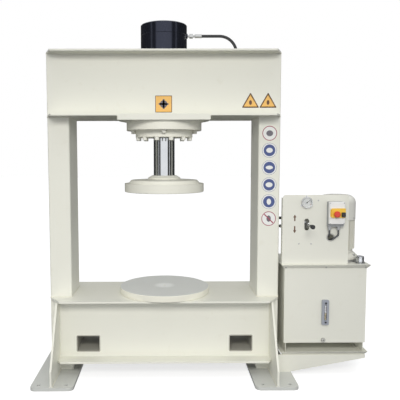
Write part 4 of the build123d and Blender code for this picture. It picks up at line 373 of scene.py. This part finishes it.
def cut_film(sign, sides, radius, centre, turn=0.0, stretch=(1.0, 1.0), rounding=0.0, index=0):
    """A flat prism of film that faces the viewer; returns its front face."""
    made = bmesh.ops.create_cone(sign, cap_ends=True, segments=sides, radius1=radius,
                                 radius2=radius, depth=FILM)
    verts = made["verts"]
    bmesh.ops.rotate(sign, verts=verts, cent=(0, 0, 0), matrix=Matrix.Rotation(turn, 3, "Z"))
    bmesh.ops.scale(sign, verts=verts, vec=(stretch[0], stretch[1], 1.0))
    upright = Matrix.Rotation(math.pi / 2, 3, "X")
    bmesh.ops.rotate(sign, verts=verts, cent=(0, 0, 0), matrix=upright)
    bmesh.ops.translate(sign, verts=verts, vec=centre)
    faces = faces_of(verts)
    if rounding:
        edges = [edge for edge in dict.fromkeys(edge for vert in verts for edge in vert.link_edges)
                 if abs(edge.verts[0].co.y - edge.verts[1].co.y) > FILM / 2]
        made = bmesh.ops.bevel(sign, geom=edges, offset=rounding, affect="EDGES", segments=4,
                               profile=0.5, material=-1)
        faces = faces_of(made["verts"])
    for face in faces:
        face.material_index = index
    return min(faces, key=lambda face: (face.calc_center_median().y, -face.calc_area()))


def border(sign, front, width, index):
    """Keeps a border of the film's own colour round a field of another one."""
    bmesh.ops.inset_individual(sign, faces=[front], thickness=width, use_even_offset=True)
    front.material_index = index


web_film_y = -web_face - FILM / 2
square_x, square_z = -0.002, 1.7525
square = bmesh.new()
plate = cut_film(square, 4, 0.0750, (square_x, web_film_y, square_z), math.pi / 4, rounding=0.004)
border(square, plate, 0.004, 1)
mark_spot = (square_x, web_film_y - FILM, square_z)
cut_film(square, 20, 0.024, mark_spot, index=2)
for turn, arm in ((math.pi / 4, (4.4, 0.8)), (math.pi * 3 / 4, (0.8, 4.4))):
    cut_film(square, 4, 0.010, mark_spot, turn, arm, index=2)
piece("sign_square", "frame", "frame_paint", square, vinyl_dark, vinyl_amber, vinyl_grey)
triangle_z = 1.7600
for number, x in enumerate((0.5485, 0.6600), 1):
    triangle = bmesh.new()
    plate = cut_film(triangle, 3, 0.0640, (x, web_film_y, triangle_z), rounding=0.007)
    border(triangle, plate, 0.0075, 1)
    cut_film(triangle, 16, 0.0115, (x, web_film_y - FILM, triangle_z + 0.001), stretch=(0.8, 1.3))
    piece("sign_triangle_" + str(number), "frame", "frame_paint", triangle, vinyl_dark, vinyl_amber)

column_film_y = -column_face - FILM / 2
sign_x, sign_radius = 0.676, 0.047
rounds = ((1.5676, True, (0.46, 0.40)), (1.4591, False, (0.44, 0.34)),
          (1.3488, False, (0.50, 0.26)), (1.2379, False, (0.48, 0.34)),
          (1.1284, False, (0.30, 0.42)), (1.0184, True, (0.30, 0.44)))
for number, (height, forbids, mark) in enumerate(rounds, 1):
    disc = bmesh.new()
    plate = cut_film(disc, 48, sign_radius, (sign_x, column_film_y, height))
    if forbids:
        border(disc, plate, 0.0046, 1)
        films = (vinyl_maroon, vinyl_white, vinyl_grey)
    else:
        border(disc, plate, 0.0016, 1)
        border(disc, plate, 0.0080, 0)
        films = (vinyl_blue, vinyl_white, vinyl_white)
    cut_film(disc, 24, sign_radius, (sign_x, column_film_y - FILM, height), stretch=mark, index=2)
    if number == len(rounds):
        cut_film(disc, 4, 0.0050, (sign_x, column_film_y - 2 * FILM, height), math.pi / 4,
                 (1.0, 11.5))
        bar = disc.verts[-8:]
        bmesh.ops.rotate(disc, verts=bar, cent=(sign_x, column_film_y, height),
                         matrix=Matrix.Rotation(math.radians(-45.0), 3, "Y"))
    piece("sign_round_" + str(number), "frame", "frame_paint", disc, *films)


# The cylinder hangs through the head. Its barrel and end cap are black gloss, and its pressing
# plate is cream like the frame. Its flange and gland are a lighter cream, painted light against the
# shade under the head, and its screws are a lighter cream too.
black_gloss = Recipe(bpy.data.materials.new("black_gloss"))
depth_noise = black_gloss.patches(0.09, 3.0)
black_tone = black_gloss.colour(depth_noise, (0.007, 0.008, 0.012, 1.0),
                                (0.013, 0.014, 0.019, 1.0))
black_gloss.principled(Base_Color=black_tone, Roughness=0.13 + depth_noise * 0.10,
                       Coat_Weight=0.20, Coat_Roughness=0.08,
                       Specular_Tint=(0.62, 0.68, 1.0, 1.0),
                       Normal=black_gloss.bump(black_gloss.patches(0.006), 0.00012, 0.5))
dress(black_gloss.owner, "cylinder_barrel", "cylinder_end_cap")
# The flange and gland are a lighter cream than the frame: painted light that lifts them out of the
# head's shade.
dress(enamel("flange_enamel_painted_light", (0.880, 0.865, 0.770), 0.00016), "cylinder_flange", "cylinder_gland")
dress(enamel("plate_enamel", (0.785, 0.775, 0.690), 0.00016), "pressing_plate")
dress(enamel("screw_enamel", (0.860, 0.850, 0.780), 0.00006), "flange_screws", "gland_screws")


def steel(name, tone, roughness, grain=0.0012, depth=0.00004):
    """Bare or plated steel with a fine grain."""
    metal = Recipe(bpy.data.materials.new(name))
    cloud = metal.patches(0.020, 3.0)
    low = tuple(part * 0.86 for part in tone) + (1.0,)
    high = tuple(tone) + (1.0,)
    return metal.principled(Base_Color=metal.colour(cloud, low, high), Metallic=1.0,
                            Roughness=roughness + cloud * 0.12,
                            Normal=metal.bump(metal.patches(grain), depth, 0.6))


zinc = steel("zinc_plate", (0.56, 0.56, 0.55), 0.26)
ground_steel = steel("ground_steel", (0.55, 0.56, 0.57), 0.22)
dress(ground_steel, "piston")


# The rod is ground and hard chromed. A black wiper ring in the gland cleans it,
# and it ends in the hub of the pressing plate.
chrome = Recipe(bpy.data.materials.new("hard_chrome"))
wear = chrome.patches(0.05, 4.0)
polish = chrome.lines(chrome.split(chrome.place)[2] * 900.0, 2.0)
chrome_tone = chrome.colour(wear, (0.52, 0.53, 0.55, 1.0), (0.60, 0.61, 0.62, 1.0))
chrome.principled(Base_Color=chrome_tone, Metallic=1.0, Roughness=0.05 + wear * 0.05,
                  Normal=chrome.bump(polish, 0.00001, 0.5))
dress(chrome.owner, "piston_rod")


def moulded(name, tone, roughness=0.45, grain=0.0009, depth=0.00008):
    """Moulded plastic or rubber with a fine grain."""
    plastic = Recipe(bpy.data.materials.new(name))
    cloud = plastic.patches(0.05, 3.0)
    low = tuple(part * 0.90 for part in tone) + (1.0,)
    high = tuple(min(1.0, part * 1.04) for part in tone) + (1.0,)
    return plastic.principled(Base_Color=plastic.colour(cloud, low, high),
                              Roughness=roughness + cloud * 0.10,
                              Normal=plastic.bump(plastic.patches(grain), depth, 0.6))


black_rubber = moulded("black_rubber", (0.020, 0.020, 0.022), 0.52, 0.0006, 0.0001)


def ring(shape, centre, inner, outer, low, high, axis="Z"):
    """A turned ring with its outer edges chamfered, about an axis through centre."""
    edge = min(outer - inner, high - low) * 0.2
    profile = ((inner, low), (outer - edge, low), (outer, low + edge), (outer, high - edge),
               (outer - edge, high), (inner, high))
    verts = [shape.verts.new((radius, 0.0, height)) for radius, height in profile]
    edges = [shape.edges.new((verts[i], verts[(i + 1) % len(verts)])) for i in range(len(verts))]
    bmesh.ops.spin(shape, geom=verts + edges, cent=(0, 0, 0), axis=(0, 0, 1),
                   angle=math.tau, steps=48, use_merge=True)
    every = [vert for vert in shape.verts if not vert.tag]
    turn = {"Z": Matrix.Identity(3), "Y": Matrix.Rotation(math.pi / 2, 3, "X"),
            "X": Matrix.Rotation(math.pi / 2, 3, "Y")}[axis]
    bmesh.ops.rotate(shape, verts=every, cent=(0, 0, 0), matrix=turn)
    bmesh.ops.translate(shape, verts=every, vec=centre)
    bmesh.ops.recalc_face_normals(shape, faces=faces_of(every))
    for vert in every:
        vert.tag = True


wiper = bmesh.new()
ring(wiper, (0.0, 0.0, 0.0), 0.0704, 0.0770, 1.5405, 1.5480)
piece("rod_wiper", "frame", "hose_rubber", wiper, black_rubber)

# One hose leaves the end cap over the head and drops through a hole in the top
# plate; the other runs inside the head. Both go down the hollow right column,
# and a rubber ring protects them at each hole.
hose_rubber = Recipe(bpy.data.materials.new("hose_rubber"))
wrap = hose_rubber.node("TexWave", {"wave_type": "BANDS", "bands_direction": "DIAGONAL"},
                        {"Vector": hose_rubber.place, "Scale": 90.0, "Distortion": 1.0})
hose_dust = hose_rubber.patches(0.02, 3.0)
hose_tone = hose_rubber.colour(hose_dust, (0.018, 0.018, 0.020, 1.0), (0.040, 0.040, 0.042, 1.0))
hose_rubber.principled(Base_Color=hose_tone, Roughness=0.42 + hose_dust * 0.15,
                       Normal=hose_rubber.bump(wrap, 0.0003, 0.5))
dress(hose_rubber.owner, "hose_extend", "hose_retract")
dress(zinc, "hose_fittings")
grommets = bmesh.new()
grommet_bore, grommet_radius, grommet_half = 0.0105, 0.0190, 0.009
ring(grommets, (0.478, 0.0, 0.0), grommet_bore, grommet_radius, 2.0620, 2.0800)
inner_wall, outer_wall = 0.611, 0.739
for hole in ((inner_wall, -0.033, 1.8505), (inner_wall, 0.0, 1.730),
             (outer_wall, -0.045, 1.010), (outer_wall, 0.0, 0.950)):
    ring(grommets, hole, grommet_bore, grommet_radius, -grommet_half, grommet_half, "X")
piece("hose_grommets", "frame", "hose_rubber", grommets, black_rubber)

# The lower plate is a turned slab with a painted rim. Its top is bare, with the
# fine rings of the lathe, and is brightest round the small centre hole.
slab = Recipe(bpy.data.materials.new("turned_slab"))
slab_x, slab_y, slab_z = slab.split(slab.place)
from_centre = slab.maths("SQRT", slab_x * slab_x + slab_y * slab_y)
lathe = slab.lines(from_centre * 420.0, 3.0)
broad = slab.lines(from_centre * 28.0, 2.0)
painted_below, bare_above = 0.5443, 0.5448
bare = slab.rise(slab_z, painted_below, bare_above)
cloud = slab.patches(0.10, 4.0)
centre = slab.rise(from_centre, 0.085, 0.035)
bare_tone = slab.colour(broad * 0.6 + cloud * 0.4, (0.68, 0.69, 0.66, 1.0),
                        (0.78, 0.79, 0.76, 1.0))
bare_tone = slab.colour(centre * 0.8, bare_tone, (0.96, 0.97, 0.95, 1.0))
rim_tone = slab.colour(cloud, (0.770, 0.755, 0.655, 1.0), (0.810, 0.795, 0.700, 1.0))
slab.principled(Base_Color=slab.colour(bare, rim_tone, bare_tone), Metallic=bare * 0.12,
                Roughness=0.42 + lathe * 0.12, Normal=slab.bump(lathe * bare, 0.00012, 0.6))
dress(slab.owner, "lower_plate")

# The tank, its lid, the drip tray and the panel are folded from sheet, welded,
# and painted with the frame. Small screws hold the lid by its sloping lip.
dress(enamel("sheet_enamel", (0.770, 0.765, 0.690), 0.00008),
      "tank_body", "tank_lid", "drip_tray", "instrument_panel")


def screw_head(shape, spot, radius, height, normal=(0, -1, 0)):
    """A button-head screw with one small pit in its dome, standing on a face."""
    made = bmesh.ops.create_cone(shape, cap_ends=True, segments=20, radius1=radius,
                                 radius2=radius, depth=height)
    verts = made["verts"]
    bmesh.ops.translate(shape, verts=verts, vec=(0, 0, height / 2))
    faces = faces_of(verts)
    top = max(faces, key=lambda face: face.calc_center_median().z)
    domed = bmesh.ops.bevel(shape, geom=list(top.edges), offset=height * 0.45, affect="EDGES",
                            segments=3, profile=0.5, material=-1)
    faces = list(dict.fromkeys(face for face in faces + domed["faces"] if face.is_valid))
    top = max(faces, key=lambda face: [round(part, 6) for part in face.calc_center_median().zxy])
    bmesh.ops.inset_individual(shape, faces=[top], thickness=radius * 0.52)
    sunk = bmesh.ops.extrude_discrete_faces(shape, faces=[top])["faces"]
    bmesh.ops.translate(shape, verts=sunk[0].verts[:], vec=(0, 0, -height * 0.5))
    every = {vert for face in faces + sunk if face.is_valid for vert in face.verts}
    every |= {edge.other_vert(vert) for vert in every for edge in vert.link_edges}
    turn = Vector(normal).to_track_quat("Z", "Y").to_matrix()
    bmesh.ops.rotate(shape, verts=list(every), cent=(0, 0, 0), matrix=turn)
    bmesh.ops.translate(shape, verts=list(every), vec=spot)


lid_screws = bmesh.new()
lip_y, lip_z, lip_normal = -0.1955, 0.7060, (0, -0.77, -0.63)
for x in (0.785, 1.045, 1.300):
    screw_head(lid_screws, (x, lip_y, lip_z), 0.0055, 0.0035, lip_normal)
piece("lid_screws", "frame", "frame_paint", lid_screws, zinc)

# The sight level is a moulded body with a clear tube in front of a white strip.
# Fine dark red lines are printed on the strip, and the oil stands in its lower
# half. Two screws hold it to the tank, over a steel drain plug.
dress(moulded("sight_grey", (0.33, 0.35, 0.40), 0.35), "level_gauge")
level_x, level_z, tube_y = 1.044, 0.410, -0.2010
strip = bmesh.new()
bmesh.ops.create_cube(strip, size=1.0)
bmesh.ops.scale(strip, verts=strip.verts, vec=(0.0150, 0.0010, 0.1020))
bmesh.ops.translate(strip, verts=strip.verts, vec=(level_x, -0.1946, level_z))
strip_face = Recipe(bpy.data.materials.new("sight_strip"))
strip_z = strip_face.split(strip_face.place)[2]
oil_level = 0.404
oil = strip_face.rise(strip_z, oil_level + 0.0005, oil_level - 0.0005)
marks = strip_face.rise(strip_face.maths("PINGPONG", strip_z, 0.006), 0.0016, 0.0010)
strip_tone = strip_face.colour(marks * 0.8, (0.82, 0.83, 0.84, 1.0), (0.25, 0.08, 0.06, 1.0))
strip_tone = strip_face.colour(oil, strip_tone, (0.42, 0.34, 0.20, 1.0))
strip_face.principled(Base_Color=strip_tone, Roughness=0.35 + strip_face.patches(0.01) * 0.1)
piece("sight_strip", "frame", "sight_plastic", strip, strip_face.owner)


def clear(name, tone, roughness=0.03):
    """Clear glass or acrylic, with faint smears."""
    pane = Recipe(bpy.data.materials.new(name))
    smear = pane.patches(0.02, 3.0)
    shade = pane.colour(smear, tuple(tone) + (1.0,), (0.97, 0.98, 0.98, 1.0))
    return pane.principled(Base_Color=shade, Roughness=roughness + smear * 0.05,
                           Transmission_Weight=1.0, IOR=1.45)


tube = bmesh.new()
bmesh.ops.create_cone(tube, cap_ends=True, segments=24, radius1=0.0068, radius2=0.0068,
                      depth=0.1010, matrix=Matrix.Translation((level_x, tube_y, level_z)))
bmesh.ops.scale(tube, verts=tube.verts, vec=(1.0, 0.72, 1.0),
                space=Matrix.Translation((-level_x, -tube_y, 0.0)))
piece("sight_tube", "frame", "sight_plastic", tube, clear("sight_clear", (0.93, 0.95, 0.96)))
level_screws = bmesh.new()
for offset in (-0.0635, 0.0635):
    screw_head(level_screws, (level_x, -0.2100, level_z + offset), 0.0060, 0.0030)
piece("level_screws", "frame", "plug_steel", level_screws, black_rubber)
dress(steel("plug_steel", (0.48, 0.47, 0.44), 0.34), "drain_plug")

# The filler cap is pressed bright metal with a black rubber band under its
# crown. It stands on a flanged strainer neck held by six small screws.
cap_metal = Recipe(bpy.data.materials.new("cap_metal"))
cap_z = cap_metal.split(cap_metal.place)[2]
cap_band = cap_metal.band(cap_z, 0.7590, 0.7625, 0.0004)
cap_cloud = cap_metal.patches(0.012, 3.0)
cap_tone = cap_metal.colour(cap_cloud, (0.60, 0.61, 0.63, 1.0), (0.74, 0.75, 0.77, 1.0))
cap_metal.principled(Base_Color=cap_metal.colour(cap_band, cap_tone, (0.02, 0.02, 0.02, 1.0)),
                     Metallic=1.0 - cap_band, Roughness=0.22 + cap_cloud * 0.10 + cap_band * 0.3,
                     Normal=cap_metal.bump(cap_metal.patches(0.001), 0.00003, 0.6))
dress(cap_metal.owner, "breather_cap")
cap_x, cap_y = 1.280, -0.142
neck = bmesh.new()
ring(neck, (cap_x, cap_y, 0.0), 0.0242, 0.0335, 0.7220, 0.7265)
piece("breather_neck", "frame", "breather_metal", neck, zinc)
neck_screws = bmesh.new()
neck_screw_circle = 0.0290
for number in range(6):
    turn = math.radians(60.0 * number + 15.0)
    spot = (cap_x + neck_screw_circle * math.cos(turn),
            cap_y + neck_screw_circle * math.sin(turn), 0.7264)
    screw_head(neck_screws, spot, 0.0028, 0.0018, (0, 0, 1))
piece("breather_screws", "frame", "breather_metal", neck_screws, zinc)

# The panel carries the gauge, the lever and the switch. Two arrows beside the
# lever show which way the ram goes, three small screws hold what is behind the
# panel, and a grey collar lines the hole of the cables.
panel_face = -0.183
panel_film_y = panel_face - FILM / 2
arrows = bmesh.new()
arrow_x, arrow_head = 0.839, 0.0120
for top, base, tip in ((1.0470, 1.0050, 1), (0.9730, 0.9270, -1)):
    middle = (top + base) / 2
    reach = (top - base) / 2
    cut_film(arrows, 3, arrow_head, (arrow_x, panel_film_y, middle + tip * (reach - arrow_head)),
             math.pi * (1 - tip) / 2)
    cut_film(arrows, 4, 0.0060, (arrow_x, panel_film_y, middle - tip * 0.0080), math.pi / 4,
             (1.0, (reach * 2 - 0.016) / 0.0085))
piece("arrows", "frame", "frame_paint", arrows, vinyl_dark)
panel_screws = bmesh.new()
for x, z in ((0.989, 1.138), (0.867, 0.858), (0.947, 0.858)):
    screw_head(panel_screws, (x, panel_face, z), 0.0050, 0.0030)
piece("panel_screws", "frame", "frame_paint", panel_screws, zinc)
collar = bmesh.new()
ring(collar, (1.071, -0.1815, 0.899), 0.0205, 0.0275, -0.0035, 0.0035, "Y")
piece("cable_collar", "frame", "black_plastic", collar,
      moulded("collar_grey", (0.50, 0.50, 0.47), 0.45))

# The gauge has a chromed steel case with a three-lug ring, a white dial with
# black divisions, a black pointer and a flat glass.
dress(steel("gauge_chrome", (0.74, 0.74, 0.75), 0.10), "gauge_case")
gauge_x, gauge_z = 0.913, 1.126
dial = Recipe(bpy.data.materials.new("gauge_face"))
dial_x, _, dial_z = dial.split(dial.place)
across, up = dial_x - gauge_x, dial_z - gauge_z
reach = dial.maths("SQRT", across * across + up * up)
bearing = dial.maths("ARCTAN2", across, up)
swept = dial.rise(dial.maths("ABSOLUTE", bearing), 2.375, 2.365)
step_wide, step_fine = math.radians(27.0), math.radians(5.4)
wide = dial.rise(dial.maths("PINGPONG", bearing, step_wide / 2), 0.030, 0.022)
fine = dial.rise(dial.maths("PINGPONG", bearing, step_fine / 2), 0.016, 0.011)
outer_band = dial.band(reach, 0.0268, 0.0292, 0.0002)
wide_band = dial.band(reach, 0.0238, 0.0292, 0.0002)
edge_line = dial.band(reach, 0.0288, 0.0293, 0.0001)
print_mask = dial.maths("MAXIMUM", fine * outer_band, wide * wide_band)
print_mask = dial.maths("MAXIMUM", print_mask, edge_line) * swept
redline = dial.rise(bearing, 1.88, 1.90) * dial.band(reach, 0.0255, 0.0267, 0.0002) * swept
dial_tone = dial.colour(dial.patches(0.01), (0.86, 0.86, 0.85, 1.0), (0.90, 0.90, 0.89, 1.0))
dial_tone = dial.colour(print_mask, dial_tone, (0.02, 0.02, 0.02, 1.0))
dial_tone = dial.colour(redline, dial_tone, (0.62, 0.03, 0.02, 1.0))
dial.principled(Base_Color=dial_tone, Roughness=0.45)
dress(dial.owner, "gauge_dial")
dress(clear("gauge_clear", (0.96, 0.97, 0.97), 0.01), "gauge_glass")
dress(moulded("needle_black", (0.015, 0.015, 0.015), 0.4), "gauge_needle")
lug_screws = bmesh.new()
lug_circle = 0.0405
for turn in (90.0, 210.0, 330.0):
    x = gauge_x + lug_circle * math.cos(math.radians(turn))
    z = gauge_z + lug_circle * math.sin(math.radians(turn))
    screw_head(lug_screws, (x, -0.1860, z), 0.0036, 0.0025)
piece("gauge_screws", "frame", "gauge_chrome", lug_screws, zinc)

# The motor switch is a moulded box: grey back, white cover, and a yellow flap
# with the red stop button and a black catch. Two cables leave it through glands.
dress(moulded("switch_grey", (0.34, 0.35, 0.36)), "switch_base")
dress(moulded("switch_white", (0.84, 0.84, 0.83), 0.32), "switch_cover")
dress(moulded("flap_yellow", (0.900, 0.560, 0.060), 0.34), "stop_flap")
dress(moulded("button_red", (0.700, 0.060, 0.030), 0.28), "stop_button")
satin_black = moulded("satin_black", (0.022, 0.022, 0.024), 0.36)
dress(satin_black, "flap_latch")
gland_grey = moulded("gland_grey", (0.42, 0.43, 0.44), 0.42)
dress(gland_grey, "cable_glands")
dress(moulded("cable_jacket", (0.085, 0.088, 0.092), 0.45, 0.0008, 0.00006),
      "motor_cable", "supply_cable")
cover_screws = bmesh.new()
for x in (1.0515, 1.1385):
    for z in (0.9965, 1.1255):
        screw_head(cover_screws, (x, -0.2368, z), 0.0032, 0.0016)
piece("cover_screws", "frame", "switch_grey", cover_screws, gland_grey)

# The lever is a plain steel rod with a black grip. It tilts on a pin in front of
# the iron valve behind the panel, and moves the valve's ground spool. The pump,
# of rough cast iron, hangs in the tank and feeds the valve through steel pipes.
dress(ground_steel, "control_lever", "valve_spool")
dress(satin_black, "lever_grip")
dress(zinc, "oil_pipes")
iron = Recipe(bpy.data.materials.new("cast_iron"))
sand = iron.patches(0.0025, 4.0)
iron.principled(Base_Color=iron.colour(sand, (0.20, 0.20, 0.20, 1.0), (0.34, 0.34, 0.33, 1.0)),
                Metallic=0.6, Roughness=0.50 + sand * 0.15, Normal=iron.bump(sand, 0.0003, 0.8))
dress(iron.owner, "gear_pump")
dress(steel("valve_iron", (0.50, 0.50, 0.47), 0.40, 0.003, 0.0002), "valve_block")

# The motor stands on the tank with its shaft down. Its cast ribbed body and the
# deep-drawn fan cowl are painted; the bell housing under it is bare aluminium.
# The body, its terminal box and the cowl are a darker, greyer cream than the frame: painted shade
# for the dark gaps between the ribs and round the cowl.
dress(enamel("motor_enamel_painted_shade", (0.690, 0.680, 0.610), 0.00022), "motor_housing", "terminal_box")
dress(ground_steel, "motor_rotor", "pump_coupling")
dress(enamel("cowl_enamel_painted_shade", (0.740, 0.735, 0.680), 0.00006), "fan_cowl")
dress(moulded("fan_plastic", (0.050, 0.050, 0.055), 0.5), "motor_fan")
dress(steel("cast_aluminium", (0.62, 0.62, 0.60), 0.42, 0.003, 0.0002), "bell_housing")
motor_screws = bmesh.new()
motor_x, flange_circle, flange_top = 1.165, 0.1285, 0.7640
cowl_radius, cowl_screw_z = 0.1218, 1.0120
for number in range(4):
    turn = math.radians(45.0 + 90.0 * number)
    x, y = math.cos(turn), math.sin(turn)
    screw_head(motor_screws, (motor_x + flange_circle * x, flange_circle * y, flange_top),
               0.0080, 0.0075, (0, 0, 1))
    screw_head(motor_screws, (motor_x + cowl_radius * x, cowl_radius * y, cowl_screw_z),
               0.0045, 0.0030, (x, y, 0))
piece("motor_screws", "frame", "motor_paint", motor_screws, zinc)
box_screws = bmesh.new()
for y in (-0.041, 0.041):
    for z in (0.866, 0.934):
        screw_head(box_screws, (0.9855, y, z), 0.0040, 0.0025, (-1, 0, 0))
piece("terminal_screws", "frame", "motor_paint", box_screws, zinc)
